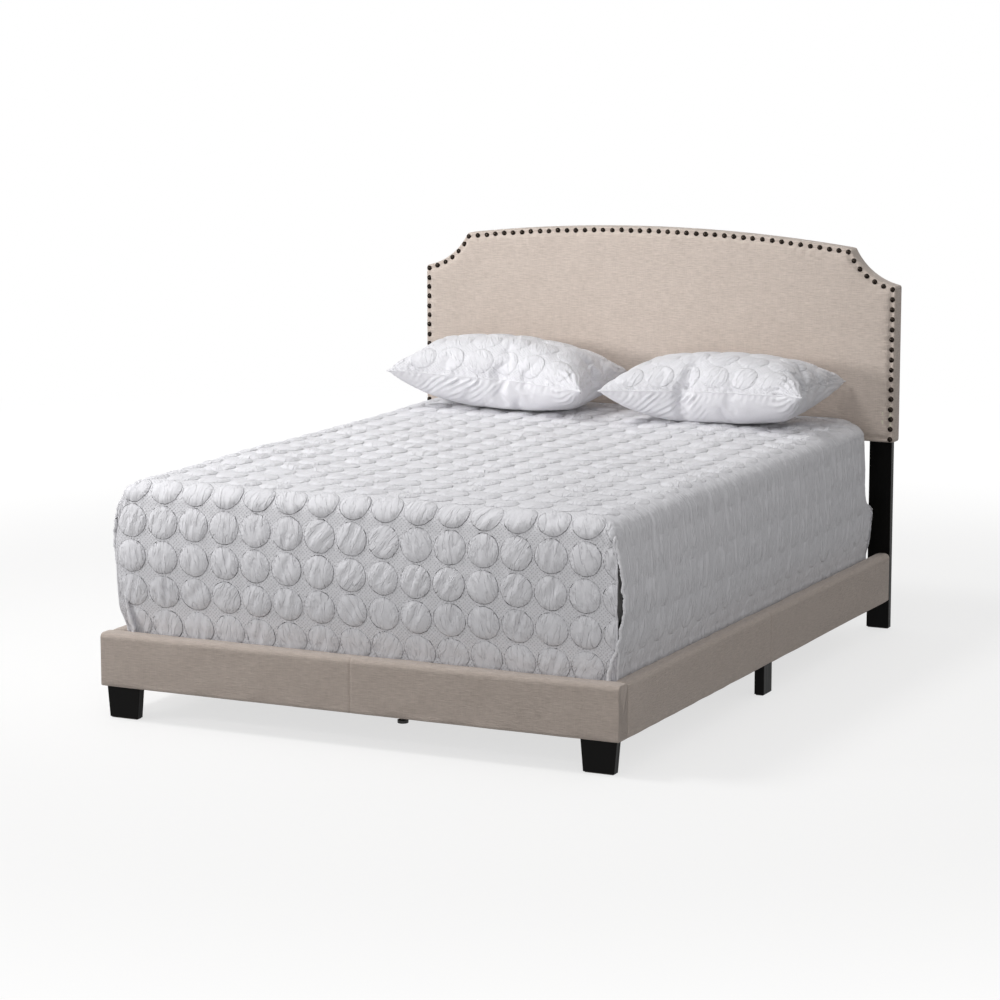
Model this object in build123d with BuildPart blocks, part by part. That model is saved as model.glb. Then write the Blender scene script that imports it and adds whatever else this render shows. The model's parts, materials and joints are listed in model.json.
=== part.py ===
"""Upholstered queen bed: nailhead headboard, padded rails, slats, box spring, mattress and bedding.

Millimetres. +Z is up, X runs across the bed, -Y is the foot and +Y the headboard.
The origin is on the floor, in the middle of the bed's footprint.
"""

import math
import os

from build123d import *

os.makedirs("parts", exist_ok=True)

# Mattress set
mattress_width = 1524.0
mattress_length = 2032.0
mattress_height = 305.0
mattress_corner_radius = 70.0
mattress_edge_radius = 62.0
ticking_thickness = 3.0
comfort_foam_thickness = 75.0
foundation_height = 230.0
foundation_inset = 17.0
foundation_cloth = 1.5
foundation_edge_radius = 8.0
foundation_board = 20.0
deck_slat_width = 90.0
deck_slat_thickness = 16.0
deck_slat_count = 9
center_beam_width = 44.0

# Padded rails
rail_height = 154.0
floor_clearance = 94.0
side_rail_thickness = 45.0
foot_rail_thickness = 60.0
mattress_side_gap = 3.0
mattress_foot_gap = 6.0
mattress_head_gap = 14.0
fabric_thickness = 1.5
rail_foam_thickness = 10.0
rail_top_radius = 15.0
rail_end_radius = 5.0

# Headboard outline and layers
headboard_overhang = 25.0
headboard_bottom = 617.0
headboard_top = 1275.0
notch_drop = 43.0
shoulder_drop = 157.0
notch_width = 154.0
scoop_sagitta = 23.0
outline_corner_radius = 9.0
headboard_depth = 55.0
border_foam_thickness = 14.0
crown_height = 8.0
crown_inset = 21.0
crown_slope = 58.0
front_edge_radius = 7.0
face_board_thickness = 9.0
back_wrap_width = 40.0
dust_cloth_thickness = 1.0
stile_margin = 34.0
top_rail_depth = 8.0
bottom_rail_width = 80.0
mullion_width = 60.0
mullion_count = 2

# Nail heads
nail_inset = 12.0
nail_pitch = 32.8
nail_radius = 5.5
nail_dome_height = 3.0
nail_shank_radius = 0.9
nail_shank_length = 20.0

# Legs and floor pads
headboard_leg_width = 75.0
headboard_leg_thickness = 25.0
headboard_leg_drop = 158.0
front_leg_top_width = 108.0
front_leg_taper = 8.0
front_leg_thickness = 28.0
front_leg_side_setback = 12.0
front_leg_face_setback = 15.0
mid_leg_width = 30.0
mid_leg_length = 66.0
mid_leg_setback = 8.0
pad_thickness = 3.0
pad_margin = 4.0
leg_edge_radius = 2.0

# Slats and what carries them
ledger_width = 25.0
ledger_height = 28.0
ledger_lift = 3.0
ledger_gap = 2.0
slat_width = 70.0
slat_thickness = 20.0
slat_end_gap = 2.0
slat_count = 4
center_leg_size = 40.0
leveller_extension = 10.0
leveller_pad_radius = 16.0
leveller_pad_height = 9.0
leveller_stem_radius = 4.0
leveller_engagement = 35.0
leveller_bore_clearance = 0.05
leveller_bore_depth = 60.0

# Corner blocks, plates and brackets
corner_block_size = 60.0
corner_block_height = 44.0
corner_bolt_spread = 18.0
corner_bolt_setback = 20.0
steel_thickness = 3.0
joiner_length = 200.0
joiner_height = 46.0
joiner_lift = 12.0
joiner_screw_pitch = 120.0
joiner_screw_rows = 24.0
bracket_height = 70.0
bracket_reach = 44.0
bracket_screw_pitch = 40.0

# Fasteners
bolt_radius = 4.0
bolt_head_radius = 6.5
bolt_head_height = 5.0
bolt_hole_clearance = 0.2
counterbore_radius = 10.0
counterbore_depth = 8.0
washer_radius = 9.0
washer_thickness = 1.6
insert_radius = 6.0
insert_length = 20.0
leg_bolt_pitch = 110.0
leg_bolt_low_margin = 83.0
leg_bolt_top_margin = 40.0
corner_bolt_grip = 20.0
hanger_bolt_radius = 3.0
hanger_bolt_in_leg = 40.0
hanger_bolt_in_rail = 60.0
front_hanger_pitch = 52.0
mid_hanger_pitch = 34.0
screw_radius = 2.0
screw_head_radius = 4.0
screw_head_height = 2.4
screw_grip = 12.0
ledger_screw_grip = 9.0
slat_screw_grip = 18.0
ledger_screw_count = 5
ledger_screw_end = 60.0
leg_screw_pitch = 20.0

# Quilt
quilt_thickness = 8.0
quilt_ease = 5.0
quilt_belly = 10.0
quilt_belly_height = 430.0
quilt_shoulder_radius = 68.0
quilt_tuck = 12.0
quilt_hem_depth = 32.0
quilt_rail_gap = 12.0
quilt_lift = 0.5
slit_width = 4.0
binding_radius = 3.8
binding_clearance = 0.4

# Pillows
pillow_width = 690.0
pillow_length = 445.0
pillow_seam_bow = 14.0
pillow_shoulder_bulge = 26.0
pillow_head_gap = 16.0
pillow_rest_gap = 0.5
sham_thickness = 3.0
left_pillow_crown = 158.0
left_pillow_belly = 112.0
left_pillow_seam_height = 78.0
left_pillow_middle_gap = 40.0
left_pillow_tilt = 5.5
left_pillow_turn = 1.5
right_pillow_crown = 122.0
right_pillow_belly = 126.0
right_pillow_seam_height = 113.0
right_pillow_middle_gap = 7.0
right_pillow_tilt = -1.3
right_pillow_turn = 1.0
# Inset and height of each level of a pillow half, as shares of half its length and of its crown
pillow_level_shares = ((0.0, 0.0), (0.12, 0.40), (0.32, 0.72), (0.58, 0.92), (0.82, 0.99))

# One overrun serves every cut
overrun = 5.0

# Places worked out from the sizes
mattress_half = mattress_width / 2
side_inner = mattress_half + mattress_side_gap
side_outer = side_inner + side_rail_thickness
overall_depth = (
    foot_rail_thickness
    + mattress_foot_gap
    + mattress_length
    + mattress_head_gap
    + headboard_depth
    + headboard_leg_thickness
)
foot_face = -overall_depth / 2
foot_inner = foot_face + foot_rail_thickness
mattress_foot = foot_inner + mattress_foot_gap
mattress_head = mattress_foot + mattress_length
headboard_front = mattress_head + mattress_head_gap
headboard_back = headboard_front + headboard_depth
leg_back = headboard_back + headboard_leg_thickness
rail_top = floor_clearance + rail_height
rail_joint = (foot_inner + headboard_back) / 2
foam_front = headboard_front + fabric_thickness
board_front = foam_front + border_foam_thickness
battens_front = board_front + face_board_thickness
battens_back = headboard_back - fabric_thickness
ledger_bottom = floor_clearance + ledger_lift
slat_bottom = ledger_bottom + ledger_height
slat_top = slat_bottom + slat_thickness
foundation_top = slat_top + foundation_height
mattress_top = foundation_top + mattress_height
foundation_half = mattress_half - foundation_inset
foundation_foot = mattress_foot + foundation_inset
quilt_top = mattress_top + quilt_lift + quilt_thickness
core_inset = fabric_thickness + rail_foam_thickness
core_bottom = floor_clearance + fabric_thickness
core_top = rail_top - core_inset
headboard_half = side_outer + headboard_overhang
notch_half_width = headboard_half - notch_width
notch_height = headboard_top - notch_drop
shoulder_height = headboard_top - shoulder_drop
top_rail_bottom = shoulder_height - top_rail_depth
headboard_leg_top = shoulder_height - headboard_leg_drop
sides = {"left": -1, "right": 1}


def save(part, name):
    """Labels a finished piece and writes it to its own file."""
    part.label = name
    export_step(part, f"parts/{name}.step")


def save_set(parts, name):
    """Writes pieces that may touch one another to one file, as separate solids."""
    save(Compound(children=parts), name)


def upright(y):
    """The plane that faces the foot at y: its own x is X and its own y is Z."""
    return Plane.XZ.offset(-y)


def across(x):
    """The plane that faces right at x: its own x is Y and its own y is Z."""
    return Plane.YZ.offset(x)


def box_between(low, high, mode=Mode.ADD):
    """A box from its lowest corner to its highest, in the part being built."""
    size = [b - a for a, b in zip(low, high)]
    middle = tuple((a + b) / 2 for a, b in zip(low, high))
    with Locations(middle):
        Box(*size, mode=mode)


def drill(places, radius, depth):
    """Cuts a round hole from each place down its own axis, in the part being built."""
    with Locations(*places):
        Cylinder(
            radius,
            depth,
            align=(Align.CENTER, Align.CENTER, Align.MAX),
            mode=Mode.SUBTRACT,
        )


def screw(head_radius, head_height, shank_radius, shank_length):
    """A screw or bolt: its head stands on z = 0 and its shank goes down from there."""
    with BuildPart() as made:
        Cylinder(shank_radius, shank_length, align=(Align.CENTER, Align.CENTER, Align.MAX))
        Cylinder(head_radius, head_height, align=(Align.CENTER, Align.CENTER, Align.MIN))
    return made.part


def group(piece, places):
    """Copies of one piece, one at each place, as separate solids."""
    with BuildPart() as made:
        with Locations(*places):
            add(piece)
    return made.part


def both(low, high):
    """The ordered pair of two X values, for a box on the left or the right side."""
    return min(low, high), max(low, high)


# Where the fasteners go
leg_outer = side_outer
leg_middle = leg_outer - headboard_leg_width / 2
leg_bolt_lowest = headboard_bottom + leg_bolt_low_margin
leg_bolt_span = headboard_leg_top - leg_bolt_top_margin - leg_bolt_lowest
leg_bolt_count = 1 + math.floor(leg_bolt_span / leg_bolt_pitch)
leg_bolt_heights = [leg_bolt_lowest + i * leg_bolt_pitch for i in range(leg_bolt_count)]
insert_bore = bolt_radius + bolt_hole_clearance


def leg_bolt_places(side, y):
    """The headboard leg's bolt axes on the plane at y, pointing to the wall."""
    return [
        Plane(origin=(side * leg_middle, y, height), z_dir=(0, 1, 0)) for height in leg_bolt_heights
    ]


block_top = core_bottom + corner_block_height
low_bolt = core_bottom + corner_block_height / 2 - corner_bolt_spread / 2
high_bolt = low_bolt + corner_bolt_spread
block_bolt_length = corner_block_size + core_inset + corner_bolt_grip


def side_bolt_place(side):
    """The corner bolt that goes out through the block into the side rail."""
    x = side * (side_inner - corner_block_size)
    return Plane(origin=(x, foot_inner + corner_bolt_setback, low_bolt), z_dir=(-side, 0, 0))


def foot_bolt_place(side):
    """The corner bolt that goes forward through the block into the foot rail."""
    x = side * (side_inner - corner_block_size + corner_bolt_setback)
    return Plane(origin=(x, foot_inner + corner_block_size, high_bolt), z_dir=(0, 1, 0))


def hanger_places(side, which, z_dir=(0, 0, -1)):
    """Where a leg's two hanger bolts cross the rail's underside; they run against z_dir."""
    if which == "front":
        x = front_leg_middle
        y = foot_face + front_leg_face_setback + front_leg_thickness / 2
        steps = ((-front_hanger_pitch / 2, 0), (front_hanger_pitch / 2, 0))
    else:
        x = mid_leg_middle
        y = rail_joint
        steps = ((0, -mid_hanger_pitch / 2), (0, mid_hanger_pitch / 2))
    return [
        Plane(origin=(side * (x + dx), y + dy, floor_clearance), z_dir=z_dir) for dx, dy in steps
    ]


def leg_bores(side, which):
    """The same axes, for the bores that run down into the leg."""
    return hanger_places(side, which, z_dir=(0, 0, 1))


front_leg_outer = side_outer - front_leg_side_setback
front_leg_middle = front_leg_outer - front_leg_top_width / 2
mid_leg_outer = side_outer - mid_leg_setback
mid_leg_middle = mid_leg_outer - mid_leg_width / 2
hanger_hole = hanger_bolt_radius + bolt_hole_clearance
screw_hole = screw_radius + bolt_hole_clearance
plate_screw_length = steel_thickness + core_inset + screw_grip
ledger_screw_length = ledger_width + core_inset + ledger_screw_grip
slat_counterbore = screw_head_radius + bolt_hole_clearance
slat_screw_length = slat_thickness - screw_head_height + slat_screw_grip
joiner_bottom = slat_top + joiner_lift
joiner_middle = joiner_bottom + joiner_height / 2
bracket_middle = joiner_middle
halves = {
    "front": (foot_inner, rail_joint),
    "rear": (rail_joint, headboard_back),
}
ledger_spans = {
    "front": (foot_inner + corner_block_size, rail_joint - ledger_gap / 2),
    "rear": (rail_joint + ledger_gap / 2, headboard_back - bracket_reach),
}


def joiner_places(side):
    """The joiner plate's screw axes on its inner face, pointing into the bed."""
    x = side * (side_inner - steel_thickness)
    return [
        Plane(origin=(x, rail_joint + dy, joiner_middle + dz), z_dir=(-side, 0, 0))
        for dy in (-joiner_screw_pitch / 2, joiner_screw_pitch / 2)
        for dz in (-joiner_screw_rows / 2, joiner_screw_rows / 2)
    ]


def bracket_rail_places(side):
    """The rear bracket's screw axes on its rail flange."""
    x = side * (side_inner - steel_thickness)
    y = headboard_back - bracket_reach / 2
    return [
        Plane(origin=(x, y, bracket_middle + dz), z_dir=(-side, 0, 0))
        for dz in (-bracket_screw_pitch / 2, bracket_screw_pitch / 2)
    ]


def bracket_leg_places(side):
    """The rear bracket's screw axes on its leg flange, pointing to the foot."""
    x = side * (leg_outer - headboard_leg_width + side_inner) / 2
    return [
        Plane(
            origin=(x, headboard_back - steel_thickness, bracket_middle + dz), z_dir=(0, -1, 0)
        )
        for dz in (-bracket_screw_pitch / 2, bracket_screw_pitch / 2)
    ]


def ledger_places(side):
    """The screw axes of one side's two ledger strips, on their inner faces."""
    places = []
    for start, end in ledger_spans.values():
        pitch = (end - start - 2 * ledger_screw_end) / (ledger_screw_count - 1)
        for i in range(ledger_screw_count):
            seat = (
                side * (side_inner - ledger_width),
                start + ledger_screw_end + i * pitch,
                ledger_bottom + ledger_height / 2,
            )
            places.append(Plane(origin=seat, z_dir=(-side, 0, 0)))
    return places


# Headboard
def headboard_outline(y, inset, rounded=True):
    """The scooped outline, drawn in by inset all round, as a face on the plane at y."""
    half = headboard_half
    with BuildSketch(upright(y)) as outline:
        with BuildLine():
            Polyline(
                (-half, shoulder_height),
                (-half, headboard_bottom),
                (half, headboard_bottom),
                (half, shoulder_height),
            )
            ThreePointArc(
                (-notch_half_width, notch_height),
                (0, headboard_top),
                (notch_half_width, notch_height),
            )
            SagittaArc((notch_half_width, notch_height), (half, shoulder_height), -scoop_sagitta)
            SagittaArc((-notch_half_width, notch_height), (-half, shoulder_height), scoop_sagitta)
        make_face()
        if inset > 0:
            offset(amount=-inset, kind=Kind.INTERSECTION, mode=Mode.REPLACE)
        if rounded and inset < outline_corner_radius:
            fillet(outline.vertices(), outline_corner_radius - inset)
    return outline.sketch


def padded_front(inset, front, back):
    """The headboard's padded body: a rounded border and a raised field inside the nail row."""
    with BuildPart() as body:
        extrude(headboard_outline(front, inset), amount=-(back - front))
        border_edges = body.faces().sort_by(Axis.Y)[0].edges()
        fillet(border_edges, front_edge_radius - inset)
        field = headboard_outline(front, crown_inset + inset, rounded=False)
        extrude(field, amount=crown_height, taper=crown_slope)
    return body.part


headboard_body = padded_front(0, headboard_front, headboard_back)
headboard_filling = padded_front(fabric_thickness, foam_front, battens_back)

with BuildPart() as headboard_cover:
    add(headboard_body)
    add(headboard_filling, mode=Mode.SUBTRACT)
    opening = headboard_outline(battens_back - overrun, back_wrap_width, rounded=False)
    extrude(opening, amount=-(fabric_thickness + 2 * overrun), mode=Mode.SUBTRACT)
save(headboard_cover.part, "headboard_cover")

with BuildPart() as headboard_foam:
    add(headboard_filling)
    split(bisect_by=upright(board_front), keep=Keep.TOP)
save(headboard_foam.part, "headboard_foam")

with BuildPart() as headboard_face_board:
    face = headboard_outline(board_front, fabric_thickness)
    extrude(face, amount=-face_board_thickness)
save(headboard_face_board.part, "headboard_face_board")

with BuildPart() as headboard_blank:
    face = headboard_outline(battens_front, fabric_thickness)
    extrude(face, amount=-(battens_back - battens_front))

stile_inner = leg_middle - stile_margin
with BuildPart() as stiles:
    add(headboard_blank.part)
    box_between(
        (-stile_inner, battens_front - overrun, headboard_bottom - overrun),
        (stile_inner, battens_back + overrun, headboard_top + overrun),
        mode=Mode.SUBTRACT,
    )
    for side in sides.values():
        drill(leg_bolt_places(side, battens_back), insert_radius, insert_length)
        drill(leg_bolt_places(side, battens_back), insert_bore, battens_back - battens_front)
save(stiles.part, "headboard_stiles")

with BuildPart() as headboard_top_rail:
    add(headboard_blank.part)
    box_between(
        (-stile_inner, battens_front - overrun, top_rail_bottom),
        (stile_inner, battens_back + overrun, headboard_top + overrun),
        mode=Mode.INTERSECT,
    )
save(headboard_top_rail.part, "headboard_top_rail")

bottom_rail_top = headboard_bottom + fabric_thickness + bottom_rail_width
with BuildPart() as headboard_bottom_rail:
    box_between(
        (-stile_inner, battens_front, headboard_bottom + fabric_thickness),
        (stile_inner, battens_back, bottom_rail_top),
    )
save(headboard_bottom_rail.part, "headboard_bottom_rail")

mullion_pitch = 2 * stile_inner / (mullion_count + 1)
with BuildPart() as mullions:
    for number in range(mullion_count):
        middle = -stile_inner + (number + 1) * mullion_pitch
        box_between(
            (middle - mullion_width / 2, battens_front, bottom_rail_top),
            (middle + mullion_width / 2, battens_back, top_rail_bottom),
        )
save(mullions.part, "headboard_mullions")

with BuildPart() as dust_cloth:
    cloth = headboard_outline(battens_back, back_wrap_width + dust_cloth_thickness, rounded=False)
    extrude(cloth, amount=-dust_cloth_thickness)
    for side in sides.values():
        drill(leg_bolt_places(side, headboard_back), insert_bore, headboard_depth)
save(dust_cloth.part, "headboard_dust_cloth")

# Nail heads along the border
nail_line = headboard_outline(headboard_front, nail_inset, rounded=False).edges()
nail_edges = [e for e in nail_line if e.center().Z > bottom_rail_top]
nail_points = []
for edge in nail_edges:
    intervals = round(edge.length / nail_pitch)
    for i in range(intervals + 1):
        point = edge @ (i / intervals)
        if all((point - other).length > nail_radius for other in nail_points):
            nail_points.append(point)
nail_places = [Plane(origin=point, z_dir=(0, -1, 0)) for point in nail_points]

dome_sphere_radius = (nail_radius**2 + nail_dome_height**2) / (2 * nail_dome_height)
with BuildPart() as nail:
    with BuildSketch(Plane.XZ):
        with BuildLine():
            Polyline(
                (0, nail_dome_height),
                (0, -nail_shank_length),
                (nail_shank_radius, -nail_shank_length),
                (nail_shank_radius, 0),
                (nail_radius, 0),
            )
            RadiusArc((nail_radius, 0), (0, nail_dome_height), -dome_sphere_radius)
        make_face()
    revolve(axis=Axis.Z)
save(group(nail.part, nail_places), "headboard_nails")

# Headboard legs, their bolts, washers and inserts
for name, side in sides.items():
    inner, outer = both(side * (leg_outer - headboard_leg_width), side * leg_outer)
    with BuildPart() as leg:
        box_between((inner, headboard_back, pad_thickness), (outer, leg_back, headboard_leg_top))
        fillet(leg.edges().filter_by(Axis.Z), leg_edge_radius)
        drill(leg_bolt_places(side, leg_back), insert_bore, headboard_leg_thickness)
        drill(leg_bolt_places(side, leg_back), counterbore_radius, counterbore_depth)
        drill(bracket_leg_places(side), screw_hole, plate_screw_length)
    save(leg.part, f"headboard_leg_{name}")

bolt_seat = leg_back - counterbore_depth + washer_thickness
leg_bolt_length = bolt_seat - battens_back + insert_length
leg_bolt_axes = [place for side in sides.values() for place in leg_bolt_places(side, bolt_seat)]
leg_bolt = screw(bolt_head_radius, bolt_head_height, bolt_radius, leg_bolt_length)
save(group(leg_bolt, leg_bolt_axes), "headboard_leg_bolts")

with BuildPart() as washer:
    Cylinder(washer_radius, washer_thickness, align=(Align.CENTER, Align.CENTER, Align.MAX))
    Cylinder(insert_bore, 2 * overrun, mode=Mode.SUBTRACT)
save(group(washer.part, leg_bolt_axes), "headboard_leg_washers")

with BuildPart() as insert:
    Cylinder(insert_radius, insert_length, align=(Align.CENTER, Align.CENTER, Align.MAX))
    Cylinder(insert_bore, 3 * insert_length, mode=Mode.SUBTRACT)
insert_places = [p for side in sides.values() for p in leg_bolt_places(side, battens_back)]
save(group(insert.part, insert_places), "headboard_leg_inserts")

# Side rails: two halves a side, each a board in foam and fabric
def side_section(side, y, inset):
    """The side rail's cross-section at y, smaller by inset, with a soft rounded top."""
    width = side_rail_thickness - 2 * inset
    low = floor_clearance + inset
    high = rail_top - inset
    with BuildSketch(upright(y)) as section:
        with Locations((side * (side_inner + side_outer) / 2, (low + high) / 2)):
            Rectangle(width, high - low)
        top_corners = section.vertices().group_by(Axis.Y)[-1]
        fillet(top_corners, rail_top_radius - inset)
    return section.sketch


def rail_screw_holes(side):
    """Every screw and bolt hole that the side rail's layers share."""
    drill(joiner_places(side) + bracket_rail_places(side), screw_hole, plate_screw_length)
    drill(ledger_places(side), screw_hole, ledger_screw_length)
    drill([side_bolt_place(side)], insert_bore, block_bolt_length)
    drill(hanger_places(side, "mid"), hanger_hole, hanger_bolt_in_rail)


def rail_core(side, start, end):
    """Lowest and highest corner of a side rail's board from start to end."""
    low, high = both(side * (side_inner + core_inset), side * (side_outer - core_inset))
    return (low, start, core_bottom), (high, end, core_top)


for name, side in sides.items():
    for half, (start, end) in halves.items():
        with BuildPart() as cover:
            extrude(side_section(side, start, 0), amount=-(end - start))
            hollow = side_section(side, start - overrun, fabric_thickness)
            extrude(hollow, amount=-(end - start + 2 * overrun), mode=Mode.SUBTRACT)
            rail_screw_holes(side)
        save(cover.part, f"side_rail_cover_{name}_{half}")

    boards = []
    for start, end in halves.values():
        with BuildPart() as board:
            box_between(*rail_core(side, start, end))
            rail_screw_holes(side)
        boards.append(board.part)
    save_set(boards, f"side_rail_boards_{name}")

foam_strips = []
for side in sides.values():
    for start, end in halves.values():
        with BuildPart() as strip:
            filling = side_section(side, start, fabric_thickness)
            extrude(filling, amount=-(end - start))
            low, high = rail_core(side, start - overrun, end + overrun)
            box_between((low[0], low[1], floor_clearance), high, mode=Mode.SUBTRACT)
            rail_screw_holes(side)
        foam_strips.append(strip.part)
save_set(foam_strips, "side_rail_foam")


# Foot rail: one board in foam, and a fabric cover sewn from two panels
def foot_rail_block(inset):
    """The foot rail's outer shape, smaller by inset all round."""
    low = floor_clearance + inset
    high = rail_top - inset
    with BuildPart() as block:
        with BuildSketch(across(-side_outer + inset)) as section:
            with Locations(((foot_face + foot_inner) / 2, (low + high) / 2)):
                Rectangle(foot_rail_thickness - 2 * inset, high - low)
            fillet(section.vertices().group_by(Axis.Y)[-1], rail_top_radius - inset)
        extrude(amount=2 * (side_outer - inset))
        ends = block.faces().sort_by(Axis.X)
        fillet(ends[0].edges() + ends[-1].edges(), rail_end_radius - inset)
    return block.part


def foot_rail_holes():
    """The corner bolt and leg bolt holes that the foot rail's layers share."""
    for side in sides.values():
        drill([foot_bolt_place(side)], insert_bore, block_bolt_length)
        drill(hanger_places(side, "front"), hanger_hole, hanger_bolt_in_rail)


with BuildPart() as foot_cover:
    add(foot_rail_block(0))
    add(foot_rail_block(fabric_thickness), mode=Mode.SUBTRACT)
    foot_rail_holes()
for name, keep in {"left": Keep.BOTTOM, "right": Keep.TOP}.items():
    with BuildPart() as panel:
        add(foot_cover.part)
        split(bisect_by=Plane.YZ, keep=keep)
    save(panel.part, f"foot_rail_cover_{name}")

foot_core_half = side_outer - core_inset
with BuildPart() as foot_board:
    box_between(
        (-foot_core_half, foot_face + core_inset, core_bottom),
        (foot_core_half, foot_inner - core_inset, core_top),
    )
    foot_rail_holes()
save(foot_board.part, "foot_rail_board")

with BuildPart() as foot_foam:
    add(foot_rail_block(fabric_thickness))
    box_between(
        (-foot_core_half, foot_face + core_inset, core_bottom - overrun),
        (foot_core_half, foot_inner - core_inset, core_top),
        mode=Mode.SUBTRACT,
    )
    foot_rail_holes()
save(foot_foam.part, "foot_rail_foam")

# Corner blocks and their bolts
with BuildPart() as blocks:
    for side in sides.values():
        inner, outer = both(side * (side_inner - corner_block_size), side * side_inner)
        box_between(
            (inner, foot_inner, core_bottom),
            (outer, foot_inner + corner_block_size, block_top),
        )
        drill([side_bolt_place(side), foot_bolt_place(side)], insert_bore, block_bolt_length)
save(blocks.part, "corner_blocks")

block_bolt = screw(bolt_head_radius, bolt_head_height, bolt_radius, block_bolt_length)
block_bolt_places = [f(side) for side in sides.values() for f in (side_bolt_place, foot_bolt_place)]
save(group(block_bolt, block_bolt_places), "corner_block_bolts")

# Front legs: tapered boards under the foot rail
front_leg_front = foot_face + front_leg_face_setback
front_leg_foot_outer = front_leg_outer - front_leg_taper
front_leg_inner = front_leg_outer - front_leg_top_width
front_leg_foot_inner = front_leg_inner + front_leg_taper
for name, side in sides.items():
    with BuildPart() as leg:
        with BuildSketch(upright(front_leg_front)):
            with BuildLine():
                Polyline(
                    (side * front_leg_inner, floor_clearance),
                    (side * front_leg_outer, floor_clearance),
                    (side * front_leg_foot_outer, pad_thickness),
                    (side * front_leg_foot_inner, pad_thickness),
                    close=True,
                )
            make_face()
        extrude(amount=-front_leg_thickness)
        fillet(leg.edges().filter_by(Plane.XY, reverse=True), leg_edge_radius)
        drill(leg_bores(side, "front"), hanger_hole, hanger_bolt_in_leg)
    save(leg.part, f"front_leg_{name}")

# Middle legs: short posts under the joint of each side rail
for name, side in sides.items():
    inner, outer = both(side * (mid_leg_outer - mid_leg_width), side * mid_leg_outer)
    with BuildPart() as leg:
        box_between(
            (inner, rail_joint - mid_leg_length / 2, pad_thickness),
            (outer, rail_joint + mid_leg_length / 2, floor_clearance),
        )
        fillet(leg.edges().filter_by(Axis.Z), leg_edge_radius)
        drill(leg_bores(side, "mid"), hanger_hole, hanger_bolt_in_leg)
    save(leg.part, f"middle_leg_{name}")

hanger_length = hanger_bolt_in_leg + hanger_bolt_in_rail
with BuildPart() as hanger_bolt:
    with Locations((0, 0, hanger_bolt_in_leg)):
        Cylinder(
            hanger_bolt_radius, hanger_length, align=(Align.CENTER, Align.CENTER, Align.MAX)
        )
hanger_axes = []
for side in sides.values():
    hanger_axes += hanger_places(side, "front") + hanger_places(side, "mid")
save(group(hanger_bolt.part, hanger_axes), "leg_hanger_bolts")

# Felt pads under the six outer legs
with BuildPart() as pads:
    for side in sides.values():
        footprints = (
            (
                (front_leg_foot_inner, front_leg_foot_outer),
                (front_leg_front, front_leg_front + front_leg_thickness),
            ),
            (
                (mid_leg_outer - mid_leg_width, mid_leg_outer),
                (rail_joint - mid_leg_length / 2, rail_joint + mid_leg_length / 2),
            ),
            ((leg_outer - headboard_leg_width, leg_outer), (headboard_back, leg_back)),
        )
        for (x_low, x_high), (y_low, y_high) in footprints:
            inner, outer = both(side * (x_low + pad_margin), side * (x_high - pad_margin))
            box_between((inner, y_low + pad_margin, 0), (outer, y_high - pad_margin, pad_thickness))
save(pads.part, "felt_pads")

# Joiner plates, rear brackets and their screws
with BuildPart() as plates:
    for side in sides.values():
        inner, outer = both(side * (side_inner - steel_thickness), side * side_inner)
        box_between(
            (inner, rail_joint - joiner_length / 2, joiner_bottom),
            (outer, rail_joint + joiner_length / 2, joiner_bottom + joiner_height),
        )
        drill(joiner_places(side), screw_hole, steel_thickness)
save(plates.part, "rail_joiner_plates")

bracket_low = bracket_middle - bracket_height / 2
bracket_high = bracket_middle + bracket_height / 2
with BuildPart() as brackets:
    for side in sides.values():
        rail_inner, rail_outer = both(side * (side_inner - steel_thickness), side * side_inner)
        box_between(
            (rail_inner, headboard_back - bracket_reach, bracket_low),
            (rail_outer, headboard_back, bracket_high),
        )
        leg_inner, flange_outer = both(side * (leg_outer - headboard_leg_width), side * side_inner)
        box_between(
            (leg_inner, headboard_back - steel_thickness, bracket_low),
            (flange_outer, headboard_back, bracket_high),
        )
        places = bracket_rail_places(side) + bracket_leg_places(side)
        drill(places, screw_hole, steel_thickness)
save(brackets.part, "headboard_brackets")

plate_screw = screw(screw_head_radius, screw_head_height, screw_radius, plate_screw_length)
plate_screw_places = []
for side in sides.values():
    plate_screw_places += joiner_places(side) + bracket_rail_places(side) + bracket_leg_places(side)
save(group(plate_screw, plate_screw_places), "plate_screws")

# Ledger strips along the side rails
ledger_screw_places = []
for name, side in sides.items():
    inner, outer = both(side * (side_inner - ledger_width), side * side_inner)
    with BuildPart() as ledgers:
        for start, end in ledger_spans.values():
            box_between((inner, start, ledger_bottom), (outer, end, slat_bottom))
        drill(ledger_places(side), screw_hole, ledger_width)
    save(ledgers.part, f"ledgers_{name}")
    ledger_screw_places += ledger_places(side)
ledger_screw = screw(screw_head_radius, screw_head_height, screw_radius, ledger_screw_length)
save(group(ledger_screw, ledger_screw_places), "ledger_screws")

# Slats, each with a middle leg and a screw-down leveller
slat_half = side_inner - slat_end_gap
slat_pitch = (headboard_front - foot_inner) / slat_count
center_leg_bottom = leveller_pad_height + leveller_extension
slat_middles = [foot_inner + (i + 1 / 2) * slat_pitch for i in range(slat_count)]
slat_screw_places = [
    Plane(origin=(dx, middle, slat_top - screw_head_height), z_dir=(0, 0, 1))
    for middle in slat_middles
    for dx in (-leg_screw_pitch / 2, leg_screw_pitch / 2)
]
leveller_places = [Plane(origin=(0, y, center_leg_bottom), z_dir=(0, 0, -1)) for y in slat_middles]
leveller_stem_length = leveller_extension + leveller_engagement

with BuildPart() as slats:
    for middle in slat_middles:
        box_between(
            (-slat_half, middle - slat_width / 2, slat_bottom),
            (slat_half, middle + slat_width / 2, slat_top),
        )
    fillet(slats.edges().filter_by(Axis.X), leg_edge_radius)
    head_places = [place.offset(screw_head_height) for place in slat_screw_places]
    drill(head_places, slat_counterbore, screw_head_height)
    drill(slat_screw_places, screw_hole, slat_thickness)
save(slats.part, "slats")

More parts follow.
